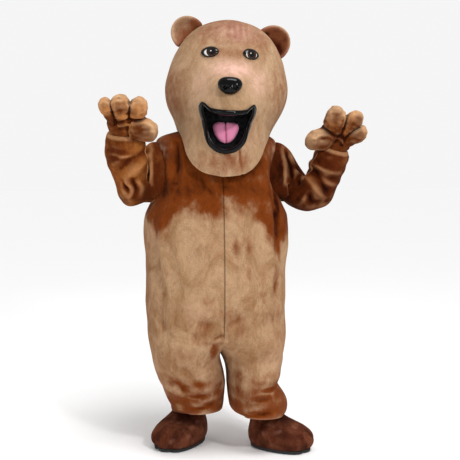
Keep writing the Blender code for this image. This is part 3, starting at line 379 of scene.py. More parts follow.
def brushed_plush(name, light, middle, deep, darkest, pale, seam_above=None):
    """Knitted polyester pile, 3 mm long and brushed by hand: strokes of the nap lie light or dark beside each
    other, the pile clumps a little, folds get painted deep shade, and ridges get a painted pale highlight."""
    material, tree, place = new_material(name)
    # Strokes and clumps are taller than wide.
    stretched = add_node(tree, "Mapping", {"Scale": (1.0, 1.0, 0.6)}, {"Vector": place})
    tall = stretched.outputs["Vector"]
    strokes = add_node(tree, "TexNoise",
                       {"Scale": 1 / STROKE, "Detail": 6.0, "Roughness": 0.68, "Distortion": 0.9},
                       {"Vector": tall})
    brushed = add_node(tree, "MapRange",
                       {"From Min": 0.36, "From Max": 0.68, "interpolation_type": "SMOOTHSTEP"},
                       {"Value": strokes.outputs["Fac"]})
    base = add_node(tree, "MixRGB", {"Color1": colour(light), "Color2": colour(middle)},
                    {"Fac": brushed.outputs["Result"]})
    # The piece's own mask darkens it, with a ragged edge: painted shade in folds, creases and hollows, and
    # patches where the pile is stroked the other way.
    ragged = add_node(tree, "TexNoise",
                      {"Scale": 1 / RAGGED_EDGE, "Detail": 5.0, "Roughness": 0.72, "Distortion": 0.4},
                      {"Vector": tall})
    mask = add_node(tree, "Attribute", {"attribute_name": "deep"})
    lifted = add_node(tree, "Math", {"operation": "MULTIPLY_ADD", 1: 1.1, 2: -0.55},
                      {0: ragged.outputs["Fac"]})
    moved = add_node(tree, "Math", {"operation": "ADD"},
                     {0: mask.outputs["Fac"], 1: lifted.outputs["Value"]})
    darker = add_node(tree, "MapRange",
                      {"From Min": 0.05, "From Max": 0.95, "interpolation_type": "SMOOTHSTEP"},
                      {"Value": moved.outputs["Value"]})
    shaded = add_node(tree, "MixRGB", {"Color2": colour(deep)},
                      {"Fac": darker.outputs["Result"], "Color1": base.outputs["Color"]})
    # Deepest in the mask, the darkest colour: painted shade in the folds.
    in_fold = add_node(tree, "MapRange",
                       {"From Min": 0.95, "From Max": 1.95, "interpolation_type": "SMOOTHSTEP"},
                       {"Value": moved.outputs["Value"]})
    folded = add_node(tree, "MixRGB", {"Color2": colour(darkest)},
                      {"Fac": in_fold.outputs["Result"], "Color1": shaded.outputs["Color"]})
    # The pale mask: painted highlights on ridges and lit spots, and some paler tone.
    tips = add_node(tree, "Attribute", {"attribute_name": "pale"})
    warmed = add_node(tree, "MixRGB", {"Color2": colour(pale)},
                      {"Fac": tips.outputs["Fac"], "Color1": folded.outputs["Color"]})
    tufts = add_node(tree, "TexNoise", {"Scale": 1 / TUFT, "Detail": 2.0, "Roughness": 0.7},
                     {"Vector": place})
    clumps = add_node(tree, "TexNoise", {"Scale": 1 / CLUMP, "Detail": 4.0, "Roughness": 0.65},
                      {"Vector": tall})
    speck = add_node(tree, "MapRange",
                     {"From Min": 0.25, "From Max": 0.75, "To Min": 0.78, "To Max": 1.12},
                     {"Value": tufts.outputs["Fac"]})
    mottle = add_node(tree, "MapRange",
                      {"From Min": 0.3, "From Max": 0.7, "To Min": 0.86, "To Max": 1.08},
                      {"Value": clumps.outputs["Fac"]})
    both = add_node(tree, "Math", {"operation": "MULTIPLY"},
                    {0: speck.outputs["Result"], 1: mottle.outputs["Result"]})
    final = add_node(tree, "VectorMath", {"operation": "SCALE"},
                     {"Vector": warmed.outputs["Color"], "Scale": both.outputs["Value"]})
    if seam_above is not None:
        # From that height up, the pile parts over the seam at x = 0, about 4 mm either way.
        axes = add_node(tree, "SeparateXYZ", links={"Vector": place})
        away = add_node(tree, "Math", {"operation": "ABSOLUTE"}, {0: axes.outputs["X"]})
        line = add_node(tree, "MapRange",
                        {"From Min": 0.0010, "From Max": 0.0042, "To Min": 0.40, "To Max": 1.0},
                        {"Value": away.outputs["Value"]})
        below = add_node(tree, "Math", {"operation": "LESS_THAN", 1: seam_above},
                         {0: axes.outputs["Z"]})
        parted = add_node(tree, "Math", {"operation": "MAXIMUM"},
                          {0: line.outputs["Result"], 1: below.outputs["Value"]})
        final = add_node(tree, "VectorMath", {"operation": "SCALE"},
                         {"Vector": final.outputs["Vector"], "Scale": parted.outputs["Value"]})
    clump_bump = add_node(tree, "Bump", {"Strength": 0.8, "Distance": 0.0030},
                          {"Height": clumps.outputs["Fac"]})
    bump = add_node(tree, "Bump", {"Strength": 0.9, "Distance": 0.0022},
                    {"Height": tufts.outputs["Fac"], "Normal": clump_bump.outputs["Normal"]})
    finish_material(tree,
                    {"Roughness": 0.95, "Specular IOR Level": 0.05, "Sheen Weight": 0.06,
                     "Sheen Roughness": 0.45, "Sheen Tint": colour(pale)},
                    {"Base Color": final.outputs["Vector"], "Normal": bump.outputs["Normal"]})
    return material


def knit_backing(name, shade):
    """The knitted back of the plush, matt and a little uneven, which shows inside the neck and the hems."""
    material, tree, place = new_material(name)
    # Knit wales are 1.2 mm apart, drawn at 3 mm.
    wales = add_node(tree, "TexWave", {"Scale": 1 / 0.060, "Distortion": 2.0, "Detail": 2.0},
                     {"Vector": place})
    uneven = add_node(tree, "TexNoise", {"Scale": 1 / 0.050, "Detail": 3.0}, {"Vector": place})
    tone = add_node(tree, "MapRange", {"To Min": 0.85, "To Max": 1.1},
                    {"Value": uneven.outputs["Fac"]})
    final = add_node(tree, "VectorMath", {"operation": "SCALE", 0: colour(shade)[:3]},
                     {"Scale": tone.outputs["Result"]})
    bump = add_node(tree, "Bump", {"Strength": 0.4, "Distance": 0.0008},
                    {"Height": wales.outputs["Fac"]})
    finish_material(tree, {"Roughness": 0.95, "Specular IOR Level": 0.15},
                    {"Base Color": final.outputs["Vector"], "Normal": bump.outputs["Normal"]})
    return material


def moulded_vinyl(name, shade, roughness, gloss):
    """Thick black vinyl from a polished mould: deep colour, sharp highlights and a faint ripple."""
    material, tree, place = new_material(name)
    ripple = add_node(tree, "TexNoise", {"Scale": 1 / 0.009, "Detail": 2.0}, {"Vector": place})
    smudge = add_node(tree, "TexNoise", {"Scale": 1 / 0.030, "Detail": 3.0}, {"Vector": place})
    dull = add_node(tree, "MapRange", {"To Min": roughness * 0.7, "To Max": roughness * 1.4},
                    {"Value": smudge.outputs["Fac"]})
    bump = add_node(tree, "Bump", {"Strength": 0.25, "Distance": 0.0006},
                    {"Height": ripple.outputs["Fac"]})
    finish_material(tree, {"Base Color": colour(shade), "Specular IOR Level": gloss},
                    {"Roughness": dull.outputs["Result"], "Normal": bump.outputs["Normal"]})
    return material


def woven_mesh(name):
    """Fine black polyester net that the wearer sees through: matt, with a small square grid of threads."""
    material, tree, place = new_material(name)
    # Threads 1.5 mm apart, drawn at 4 mm.
    across = add_node(tree, "TexWave", {"Scale": 1 / 0.080, "bands_direction": "X"},
                      {"Vector": place})
    down = add_node(tree, "TexWave", {"Scale": 1 / 0.080, "bands_direction": "Z"},
                    {"Vector": place})
    grid = add_node(tree, "Math", {"operation": "MAXIMUM"},
                    {0: across.outputs["Fac"], 1: down.outputs["Fac"]})
    tone = add_node(tree, "MixRGB", {"Color1": colour("#040404"), "Color2": colour("#17181A")},
                    {"Fac": grid.outputs["Value"]})
    bump = add_node(tree, "Bump", {"Strength": 0.5, "Distance": 0.001},
                    {"Height": grid.outputs["Value"]})
    finish_material(tree, {"Roughness": 0.9, "Specular IOR Level": 0.15},
                    {"Base Color": tone.outputs["Color"], "Normal": bump.outputs["Normal"]})
    return material


def pink_fleece(name):
    """Brushed pink fleece over a soft pad: matt, paler where it bulges, with painted shade in the groove, at
    the sides and towards the top.
    """
    material, tree, place = new_material(name)
    pile = add_node(tree, "TexNoise", {"Scale": 1 / 0.0025, "Detail": 2.0}, {"Vector": place})
    mask = add_node(tree, "Attribute", {"attribute_name": "deep"})
    tone = add_node(tree, "MixRGB", {"Color1": colour("#EE90B4"), "Color2": colour("#A94C70")},
                    {"Fac": mask.outputs["Fac"]})
    speck = add_node(tree, "MapRange", {"To Min": 0.9, "To Max": 1.1},
                     {"Value": pile.outputs["Fac"]})
    final = add_node(tree, "VectorMath", {"operation": "SCALE"},
                     {"Vector": tone.outputs["Color"], "Scale": speck.outputs["Result"]})
    bump = add_node(tree, "Bump", {"Strength": 0.5, "Distance": 0.0010},
                    {"Height": pile.outputs["Fac"]})
    finish_material(tree, {"Roughness": 0.8, "Specular IOR Level": 0.25, "Sheen Weight": 0.2},
                    {"Base Color": final.outputs["Vector"], "Normal": bump.outputs["Normal"]})
    return material


def painted_acrylic_eye(name):
    """A domed acrylic eye, painted from behind: black rim, off-white ground, brown iris and black pupil."""
    material, tree, place = new_material(name)
    spoke = add_node(tree, "Attribute", {"attribute_name": "from_iris"}).outputs["Fac"]
    edge = add_node(tree, "Attribute", {"attribute_name": "to_rim"}).outputs["Fac"]
    flecks = add_node(tree, "TexNoise", {"Scale": 1 / 0.004, "Detail": 2.0}, {"Vector": place})
    rings = add_node(tree, "ValToRGB", links={"Fac": spoke})
    ramp = rings.color_ramp
    # Distance from the middle of the iris, as a share of IRIS_REACH.
    stops = ((0.00, "#030202"), (0.24, "#030202"), (0.29, "#1C0E08"), (0.40, "#3A2014"), (0.46, "#120804"),
             (0.50, "#0B0503"), (0.54, "#D9D4CC"), (1.00, "#ECE9E2"))
    while len(ramp.elements) < len(stops):
        ramp.elements.new(1.0)
    for element, (at, shade) in zip(ramp.elements, stops):
        element.position = at
        element.color = colour(shade)
    tone = add_node(tree, "MapRange", {"To Min": 0.85, "To Max": 1.1},
                    {"Value": flecks.outputs["Fac"]})
    painted = add_node(tree, "VectorMath", {"operation": "SCALE"},
                       {"Vector": rings.outputs["Color"], "Scale": tone.outputs["Result"]})
    lid = add_node(tree, "MapRange", {"From Min": 0.66, "From Max": 0.74}, {"Value": edge})
    rimmed = add_node(tree, "MixRGB", {"Color2": colour("#060403")},
                      {"Fac": lid.outputs["Result"], "Color1": painted.outputs["Vector"]})
    # A painted highlight beside the pupil: a white dot standing for a lamp's reflection.
    glint = add_node(tree, "Attribute", {"attribute_name": "glint"}).outputs["Fac"]
    final = add_node(tree, "MixRGB", {"Color2": colour("#F4F2EE")},
                     {"Fac": glint, "Color1": rimmed.outputs["Color"]})
    finish_material(tree, {"Roughness": 0.10, "Specular IOR Level": 0.30},
                    {"Base Color": final.outputs["Color"]})
    return material


def crepe_rubber(name):
    """Moulded black sole rubber, matt with fine grit."""
    material, tree, place = new_material(name)
    grit = add_node(tree, "TexNoise", {"Scale": 1 / 0.003, "Detail": 3.0}, {"Vector": place})
    tone = add_node(tree, "MixRGB", {"Color1": colour("#0D0B0A"), "Color2": colour("#242120")},
                    {"Fac": grit.outputs["Fac"]})
    bump = add_node(tree, "Bump", {"Strength": 0.4, "Distance": 0.0008},
                    {"Height": grit.outputs["Fac"]})
    finish_material(tree, {"Roughness": 0.75, "IOR": 1.52},
                    {"Base Color": tone.outputs["Color"], "Normal": bump.outputs["Normal"]})
    return material


# Each plush: its light and middle tones, the colours of its darker and darkest mask, painted shade and darker
# pile alike, and the colour of its pale mask, mostly painted highlight.
SUIT_PLUSH = brushed_plush("brushed_plush_suit", "#B69270", "#99724F", "#74360F", "#2A0802", "#D8AB8E",
                           seam_above=CROTCH)
SLEEVE_PLUSH = brushed_plush("brushed_plush_sleeve", "#A2642F", "#80431B", "#57240A", "#200601", "#CC976A")
HAND_PLUSH = brushed_plush("brushed_plush_hand", "#BC7C46", "#96582A", "#5E2C0E", "#300F03", "#E8BF94")
HEAD_PLUSH = brushed_plush("brushed_plush_head", "#BE9C7B", "#A88563", "#874F32", "#401507", "#EBBBA9")
BOOT_PLUSH = brushed_plush("brushed_plush_boot", "#74432E", "#532718", "#32130A", "#150604", "#936250")
BACKING = knit_backing("knitted_back", "#A98660")
VINYL = moulded_vinyl("moulded_vinyl", "#030303", 0.10, 0.17)
NET = woven_mesh("woven_net")
FLEECE = pink_fleece("pink_fleece")
EYE = painted_acrylic_eye("painted_acrylic")
SOLE_RUBBER = crepe_rubber("crepe_rubber")


# Cloth helpers

def pick(item):
    """Makes one piece the only one selected, and active."""
    bpy.ops.object.select_all(action="DESELECT")
    item.select_set(True)
    bpy.context.view_layer.objects.active = item


def apply(item, kind, **settings):
    modifier = item.modifiers.new(kind.lower(), kind)
    for name, value in settings.items():
        setattr(modifier, name, value)
    pick(item)
    bpy.ops.object.modifier_apply(modifier=modifier.name)


def copy_of(node, name):
    """A solid's form as a new piece of joined quads, ready to be refined."""
    item = bpy.data.objects.new(name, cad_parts[node].data.copy())
    bpy.context.scene.collection.objects.link(item)
    item.data.materials.clear()
    pick(item)
    bpy.ops.mesh.customdata_custom_splitnormals_clear()
    bpy.ops.object.mode_set(mode="EDIT")
    bpy.ops.mesh.select_all(action="SELECT")
    bpy.ops.mesh.remove_doubles(threshold=0.00001)
    bpy.ops.mesh.tris_convert_to_quads(face_threshold=math.radians(50), shape_threshold=math.radians(60))
    bpy.ops.object.mode_set(mode="OBJECT")
    return item


def hold_rims(item, strength, least_angle):
    """Keeps the cut edges of the cloth crisp when it is refined."""
    work = bmesh.new()
    work.from_mesh(item.data)
    layer = work.edges.layers.float.get("crease_edge") or work.edges.layers.float.new("crease_edge")
    for edge in work.edges:
        if len(edge.link_faces) == 2 and edge.calc_face_angle() > math.radians(least_angle):
            edge[layer] = strength
    work.to_mesh(item.data)
    work.free()


def points_of(item):
    places = np.zeros(len(item.data.vertices) * 3)
    item.data.vertices.foreach_get("co", places)
    return places.reshape(-1, 3)


def place_points(item, places):
    item.data.vertices.foreach_set("co", np.asarray(places, np.float32).ravel())
    item.data.update()


def refined(node, name, finish, levels=3, rims=0.0, least_angle=55):
    """A smooth copy of a solid in its finish, with the places of its points. Rims over 0 keep edges crisp."""
    item = copy_of(node, name)
    if rims > 0:
        hold_rims(item, rims, least_angle)
    apply(item, "SUBSURF", levels=levels, render_levels=levels)
    bpy.ops.object.shade_smooth_by_angle(angle=math.radians(48))
    item.data.materials.append(finish)
    return item, points_of(item)


def paint(item, name, values):
    layer = item.data.attributes.get(name) or item.data.attributes.new(name, "FLOAT", "POINT")
    layer.data.foreach_set("value", np.asarray(values, np.float32))


def smoothstep(low, high, value):
    t = np.clip((value - low) / (high - low), 0.0, 1.0)
    return t * t * (3 - 2 * t)


def ways_from_line(places, line):
    """The way from the nearest point of a centre line to each place."""
    line = np.array(line)
    best = np.full(len(places), np.inf)
    ways = np.zeros_like(places)
    for start, end in zip(line[:-1], line[1:]):
        along = end - start
        t = np.clip((places - start) @ along / (along @ along), 0.0, 1.0)
        spokes = places - (start + t[:, None] * along)
        reach = np.linalg.norm(spokes, axis=1)
        nearer = reach < best
        best[nearer] = reach[nearer]
        ways[nearer] = spokes[nearer] / np.maximum(reach[nearer], 1e-6)[:, None]
    return ways


def crease_depth(places, ways, creases):
    """How deep the creases press each place in."""
    total = np.zeros(len(places))
    flat = places[:, [0, 2]]
    for face, rows in creases.items():
        facing = smoothstep(0.0, 0.60, ways[:, 1] * OUTWARD[face])
        for x0, z0, x1, z1, width, depth in rows:
            start = np.array((x0, z0))
            along = np.array((x1, z1)) - start
            t = np.clip((flat - start) @ along / (along @ along), 0.0, 1.0)
            across = np.array((-along[1], along[0])) / np.linalg.norm(along)
            # A crease bends a little, thins out at its ends, and the cloth rises on both sides of it.
            bend = 0.006 * np.sin(t * 5.0 + x0 * 40)
            taper = np.sin(math.pi * (0.10 + 0.80 * t)) ** 0.8
            away = np.linalg.norm(flat - start - t[:, None] * along - bend[:, None] * across, axis=1) / width
            profile = np.exp(-(away ** 2)) - 0.40 * np.exp(-(((away - 2.1) / 0.9) ** 2))
            total += depth * taper * profile * facing
    return total


def waves(places, size, seed):
    """Smooth unevenness from -1 to 1, with bumps of that size."""
    offset = Vector((seed * 3.1, seed * 1.7, seed * 0.9))
    return np.array([noise.noise(Vector(p) / size + offset) for p in places])


def eased(item, values, rounds):
    """Values at a piece's points, evened out along its surface."""
    ends = np.zeros(len(item.data.edges) * 2, int)
    item.data.edges.foreach_get("vertices", ends)
    first, second = ends.reshape(-1, 2).T
    count = len(values)
    near = np.maximum(np.bincount(first, minlength=count) + np.bincount(second, minlength=count), 1)
    values = values.copy()
    for _ in range(rounds):
        for axis in range(values.shape[1]):
            column = values[:, axis]
            total = np.bincount(first, column[second], count) + np.bincount(second, column[first], count)
            values[:, axis] = 0.5 * column + 0.5 * total / near
    return values


def normals_of(item):
    normals = np.zeros(len(item.data.vertices) * 3)
    item.data.vertices.foreach_get("normal", normals)
    return normals.reshape(-1, 3)


def relief(item, places, rounds=14, fold=FOLD, ridge=RIDGE):
    """How fully each place lies in a fold and how fully on a ridge of the form round it: both from 0 to 1."""
    sunk = np.sum((eased(item, places, rounds) - places) * normals_of(item), axis=1)
    return np.clip(sunk / fold, 0.0, 1.0), np.clip(-sunk / ridge, 0.0, 1.0)


def soft_patches(x, z, patches, edge=1.0):
    """The strongest of the oval patches at each place. A higher edge makes their rims crisper."""
    total = np.zeros(len(x))
    for middle_x, middle_z, wide, tall, strength in patches:
        spot = ((x - middle_x) / wide) ** 2 + ((z - middle_z) / tall) ** 2
        total = np.maximum(total, strength * np.exp(-spot ** edge))
    return total


def back_with(item, ways, backing):
    """Gives the faces that look inward the plush's knitted back."""
    item.data.materials.append(backing)
    normals = np.zeros(len(item.data.polygons) * 3)
    item.data.polygons.foreach_get("normal", normals)
    first = np.zeros(len(item.data.polygons), int)
    item.data.polygons.foreach_get("loop_start", first)
    corner = np.zeros(len(item.data.loops), int)
    item.data.loops.foreach_get("vertex_index", corner)
    inward = np.sum(normals.reshape(-1, 3) * ways[corner[first]], axis=1) < -0.35
    item.data.polygons.foreach_set("material_index", inward.astype(np.int32))


def dress(item, node):
    """Hangs a piece on the root, in its solid's place, and hides the solid."""
    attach(item, "root")
    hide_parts(node)


# Suit

def suit_ways(places, side):
    """Ways out from the trunk above the crotch and from the leg below it."""
    trunk = ways_from_line(places, SUIT_LINE)
    leg = ways_from_line(places, LEG_LINES[side])
    share = smoothstep(CROTCH + 0.07, CROTCH - 0.13, places[:, 2])[:, None]
    ways = trunk * (1 - share) + leg * share
    return ways / np.maximum(np.linalg.norm(ways, axis=1), 1e-6)[:, None]


def suit_shade(places, ways):
    """The dark chest and shoulders with a ragged lower edge, painted shade under the head over darker brushed
    pile, and darker patches lower down, partly painted shade in creases and hollows.
    """
    x, _, z = places.T
    front = smoothstep(-0.2, 0.2, -ways[:, 1])
    back_edge = BACK_EDGE + 0.03 * np.sin(x * 23)
    edge = np.interp(x, *zip(*CHEST_EDGE)) * front + back_edge * (1 - front)
    drift = waves(places, 0.060, 2.0) * 0.030 + waves(places, 0.022, 5.0) * 0.014
    chest = smoothstep(-0.080, 0.060, z - edge + drift)
    chest *= 1.08 + 0.62 * waves(places, 0.075, 15.0) + 0.25 * waves(places * (1, 1, 0.4), 0.022, 16.0)
    spots = soft_patches(x, z, SUIT_PATCHES, 1.3) * front
    behind = np.maximum(0.0, waves(places, 0.16, 7.0) - 0.12) * 0.5 * (1 - front)
    # Painted shade down the left side of the trunk.
    left_side_shade = 0.38 * smoothstep(-0.262, -0.285, x) * smoothstep(-0.25, -0.40, z)
    shins = smoothstep(*SHIN_FADE, z + 1.6 * drift + waves(places, 0.12, 33.0) * 0.05)
    shins *= 0.95 + 0.7 * waves(places * (1, 1, 1.8), 0.06, 17.0)
    shins *= 0.66 + 0.34 * smoothstep(-0.9, 0.6, -ways[:, 1])
    thighs = smoothstep(*THIGH_FADE, z) * (0.22 + 0.35 * waves(places, 0.09, 35.0)) * front
    return np.maximum.reduce([chest, spots, behind, left_side_shade, shins, thighs])


def suit_panel(face, side):
    node = f"{face}_{SIDE_NAMES[side]}"
    item, places = refined(node, f"{node}_plush", SUIT_PLUSH, rims=1.0)
    x, _, z = places.T
    ways = suit_ways(places, side)
    depth = crease_depth(places, ways, SUIT_CREASES)
    by_armhole = smoothstep(ARMHOLE_OUT - 0.045, ARMHOLE_OUT, np.abs(x))
    by_armhole *= smoothstep(ARMHOLE_LOW, ARMHOLE_LOW + 0.050, z)
    by_neck = smoothstep(NECK - 0.035, NECK, z)
    by_hem = smoothstep(HEM + 0.020, HEM, z)
    free = (1 - by_armhole) * (1 - by_neck) * (1 - by_hem)
    bump = (waves(places, 0.095, 1.0) * 0.0050 + waves(places, 0.045, 21.0) * 0.0012) * free
    moved = places + ways * (bump - depth * np.maximum(free, by_armhole * 0.45))[:, None]
    place_points(item, moved)
    back_with(item, ways, BACKING)
    shade = suit_shade(places, ways)
    fold, ridge = relief(item, moved)
    # Painted shade in the folds, deeper where the piece is already dark.
    fold *= 0.627 * (1 + np.clip(shade, 0.0, 1.2))
    # Painted highlights on the ridges, on the legs alone and not along the side seams.
    ridge *= 0.18 * smoothstep(CROTCH + 0.01, CROTCH - 0.01, z) * smoothstep(0.06, 0.22, np.abs(ways[:, 1]))
    paint(item, "deep", np.clip(shade + fold - ridge, 0.0, 2.0))
    rosy = smoothstep(0.1, 0.5, waves(places, 0.20, 4.0)) * 0.20 * (1 - np.clip(shade * 1.5, 0.0, 1.0))
    # A painted highlight at the top of each shoulder.
    shoulder = soft_patches(np.abs(x), z, SHOULDER_HIGHLIGHT) * (waves(places, 0.02, 9.0) + 0.6)
    paint(item, "pale", np.clip(rosy + ridge + shoulder, 0.0, 0.8))
    dress(item, node)


# Sleeves

def sleeve(side):
    node = f"sleeve_{SIDE_NAMES[side]}"
    item, places = refined(node, f"{node}_plush", SLEEVE_PLUSH, rims=1.0)
    out = np.abs(places[:, 0])
    ways = eased(item, ways_from_line(places, SLEEVE_LINES[side]), 24)
    depth = crease_depth(places, ways, SLEEVE_CREASES[side])
    armhole = smoothstep(0.285, 0.250, out)
    underarm = smoothstep(0.345, 0.275, out) * smoothstep(-0.16, -0.23, places[:, 2])
    by_seam = np.maximum(armhole, underarm)
    wrist, axes = hand_axes(side)
    by_wrist = smoothstep(0.105, 0.080, np.linalg.norm(places - wrist, axis=1))
    if side == LEFT:
        drawn = soft_patches(places[:, 0], places[:, 2], LEFT_ELBOW)
        places = places + drawn[:, None] * (0.026, 0.0, 0.018)
    bump = waves(places * (0.8, 1.0, 1.3), 0.070, 5.0) * 0.0048 + waves(places, 0.034, 6.5) * 0.0012 + 0.002
    moved = places + ways * ((bump - depth) * (1 - by_seam) * (1 - by_wrist))[:, None]
    place_points(item, moved)
    back_with(item, ways, BACKING)
    fold, ridge = relief(item, moved)
    loose = 1 - 0.75 * by_seam
    under = smoothstep(-0.15, -0.27, places[:, 2])
    # Painted shade near the armhole and the underarm, lower down and in the folds, and painted highlights on
    # ridges.
    shade = SLEEVE_SHADE[side] + 0.50 * waves(places, 0.09, 6.0) + (by_seam + under) * 0.25
    paint(item, "deep", np.clip(shade + (1.56 * fold - 0.44 * ridge) * loose, 0.0, 2.0))
    height = (places - wrist) @ axes[1]
    # A painted highlight along the rolled edge at the wrist.
    cuff = smoothstep(height.max() - 0.016, height.max() - 0.004, height) * 0.7
    highlight_and_mottle = 0.60 * ridge * loose + 0.2 * waves(places, 0.05, 3.0) - 0.1
    paint(item, "pale", np.clip(highlight_and_mottle + cuff, 0.0, 0.6))
    dress(item, node)


# Gloves

def unit(way):
    return np.array(way) / np.linalg.norm(way)


def hand_axes(side):
    """The wrist, and the hand's own axes: across the palm, up the hand, out of the palm."""
    up = unit(HAND_WAYS[side])
    palm = unit((0.10 * side, -1.0, 0.0))
    palm = unit(palm - up * (palm @ up))
    across = unit(np.cross(up, palm))
    if across[0] * side > 0:
        across = -across
    return np.array(SLEEVE_LINES[side][-1]), np.array((across, up, palm))


def hand_place(side, spot):
    """A place given in hand terms, in the frame's own."""
    wrist, axes = hand_axes(side)
    return wrist + np.array(spot) @ axes


def stuff_digits(places, side):
    """Fills the digits out and draws them together, as the stuffing does."""
    best = np.full(len(places), np.inf)
    moved = places.copy()
    for base, tip, radius, new_base, new_tip, new_radius in DIGITS[side]:
        start = hand_place(side, base)
        along = hand_place(side, tip) - start
        new_start = hand_place(side, new_base)
        new_along = hand_place(side, new_tip) - new_start
        t = (places - start) @ along / (along @ along)
        spoke = places - start - t[:, None] * along
        reach = np.linalg.norm(spoke, axis=1) / radius
        share = smoothstep(-0.25, 0.35, t) * smoothstep(1.75, 1.25, reach)
        stout = (1.32 - 0.32 * np.clip(t, 0.0, 1.0)) * new_radius / radius
        target = new_start + t[:, None] * new_along + spoke * stout[:, None]
        nearer = reach < best
        best = np.where(nearer, reach, best)
        moved[nearer] = (places + (target - places) * share[:, None])[nearer]
    return moved


def digit_borders(places, side):
    """1 along the creases where two digits press against each other, 0 elsewhere."""
    reaches = []
    for _, _, _, base, tip, radius in DIGITS[side]:
        start = hand_place(side, base)
        along = hand_place(side, tip) - start
        t = np.clip((places - start) @ along / (along @ along), -0.3, 1.0)
        reaches.append(np.linalg.norm(places - start - t[:, None] * along, axis=1) / radius)
    first, second = np.sort(reaches, axis=0)[:2]
    return np.exp(-(((second - first) / 0.15) ** 2)) * smoothstep(2.0, 1.3, first)


def digit_tips(places, side):
    """1 at the tips of the digits, less away from them."""
    tips = np.zeros(len(places))
    for _, _, _, _, end, radius in DIGITS[side]:
        tip = hand_place(side, np.array(end) + (0.0, 0.012, 0.004))
        tips = np.maximum(tips, np.exp(-((np.linalg.norm(places - tip, axis=1) / (radius * 0.95)) ** 2)))
    return tips * (0.85 + 0.5 * waves(places, 0.030, 41.0))


def glove(side):
    node = f"glove_{SIDE_NAMES[side]}"
    item = copy_of(node, f"{node}_plush")
    apply(item, "REMESH", mode="VOXEL", voxel_size=0.0030, use_smooth_shade=True)
    place_points(item, stuff_digits(points_of(item), side))
    apply(item, "REMESH", mode="VOXEL", voxel_size=0.0032, use_smooth_shade=True)
    apply(item, "SMOOTH", factor=0.5, iterations=7)
    places = points_of(item)
    wrist, axes = hand_axes(side)
    in_hand = (places - wrist) @ axes.T
    height = in_hand[:, 1]
    between = digit_borders(places, side) * smoothstep(0.030, 0.052, height)
    rumple = waves(in_hand * (0.6, 1.5, 1.0), 0.020, 27.0) * 0.0026
    rumple += waves(places * (1, 1, 2), 0.034, 28.0) * 0.0030
    raised = (rumple - 0.0040 * between) * smoothstep(0.004, 0.030, height)
    places = places + normals_of(item) * raised[:, None]
    place_points(item, places)
    fold, ridge = relief(item, places, 40, GLOVE_FOLD, GLOVE_RIDGE)
    item.data.materials.append(HAND_PLUSH)
    # Painted shade between the digits and in the folds.
    shade = HAND_SHADE[side] + 0.50 * waves(places, 0.045, 8.0) + between * 0.30
    shade += np.maximum(0.0, 1.2 * fold - 0.1)
    tips = digit_tips(places, side)
    facing = normals_of(item) @ axes[2]
    # Painted shade on the palm, below the digits and facing out of it.
    palm_shade = smoothstep(0.085, 0.060, height) * smoothstep(-0.2, 0.5, facing) * 0.30
    pad = smoothstep(0.55, 0.97, facing)
    paint(item, "deep", np.clip(shade + palm_shade - tips * (0.70 - 0.60 * pad), 0.0, 2.0))
    # Painted highlights on the ridges, and paler tips of the digits.
    paint(item, "pale", np.clip(tips * (0.95 - 0.75 * pad) + 0.36 * ridge - 0.08, 0.0, 0.8))
    dress(item, node)


# Boots

def boot(side):
    node = f"boot_{SIDE_NAMES[side]}"
    item, places = refined(node, f"{node}_plush", BOOT_PLUSH, levels=2, rims=0.6)
    fold, _ = relief(item, places)
    # Painted shade in the folds and towards the top, where the suit's hem covers the boot.
    shade = 0.35 + 0.5 * waves(places, 0.05, 11.0) + smoothstep(-1.20, -1.13, places[:, 2]) * 0.5
    paint(item, "deep", np.clip(shade + 1.56 * fold, 0.0, 1.9))
    paint(item, "pale", smoothstep(0.15, 0.6, waves(places, 0.03, 12.0)) * 0.4)
    dress(item, node)


def sole(side):
    node = f"sole_{SIDE_NAMES[side]}"
    item, _ = refined(node, f"{node}_rubber", SOLE_RUBBER, levels=2, rims=0.7, least_angle=40)
    dress(item, node)


# Head

def head_terms(places):
    """Across and height in the head's own upright terms, from its middle, before its turn, tilt and lean."""
    turn = math.radians(HEAD_TURN)
    tilt = math.sin(math.radians(HEAD_TILT))
    lean = math.tan(math.radians(HEAD_LEAN))
    across = (places[:, 0] - HEAD_CENTRE[0]) * math.cos(turn) - places[:, 1] * math.sin(turn)
    rise = (places[:, 2] - HEAD_CENTRE[2] + across * tilt) / (1 + lean * tilt)
    return across - rise * lean, rise


def grin(places):
    """Draws the mouth into its smile: the upper lip sags between raised corners, the sides taper downward."""
    across, rise = head_terms(places)
    front = smoothstep(-0.02, -0.10, places[:, 1])
    sag = smoothstep(0.106, 0.066, np.abs(across)) * smoothstep(-0.120, -0.066, rise)
    sag *= smoothstep(0.030, -0.026, rise)
    pull = np.clip(across / 0.10, -1.0, 1.0) * smoothstep(0.21, 0.12, np.abs(across))
    moved = places.copy()
    moved[:, 0] -= np.interp(rise, *zip(*MOUTH_TAPER)) * pull * front
    moved[:, 2] -= 0.024 * sag * front
    return moved


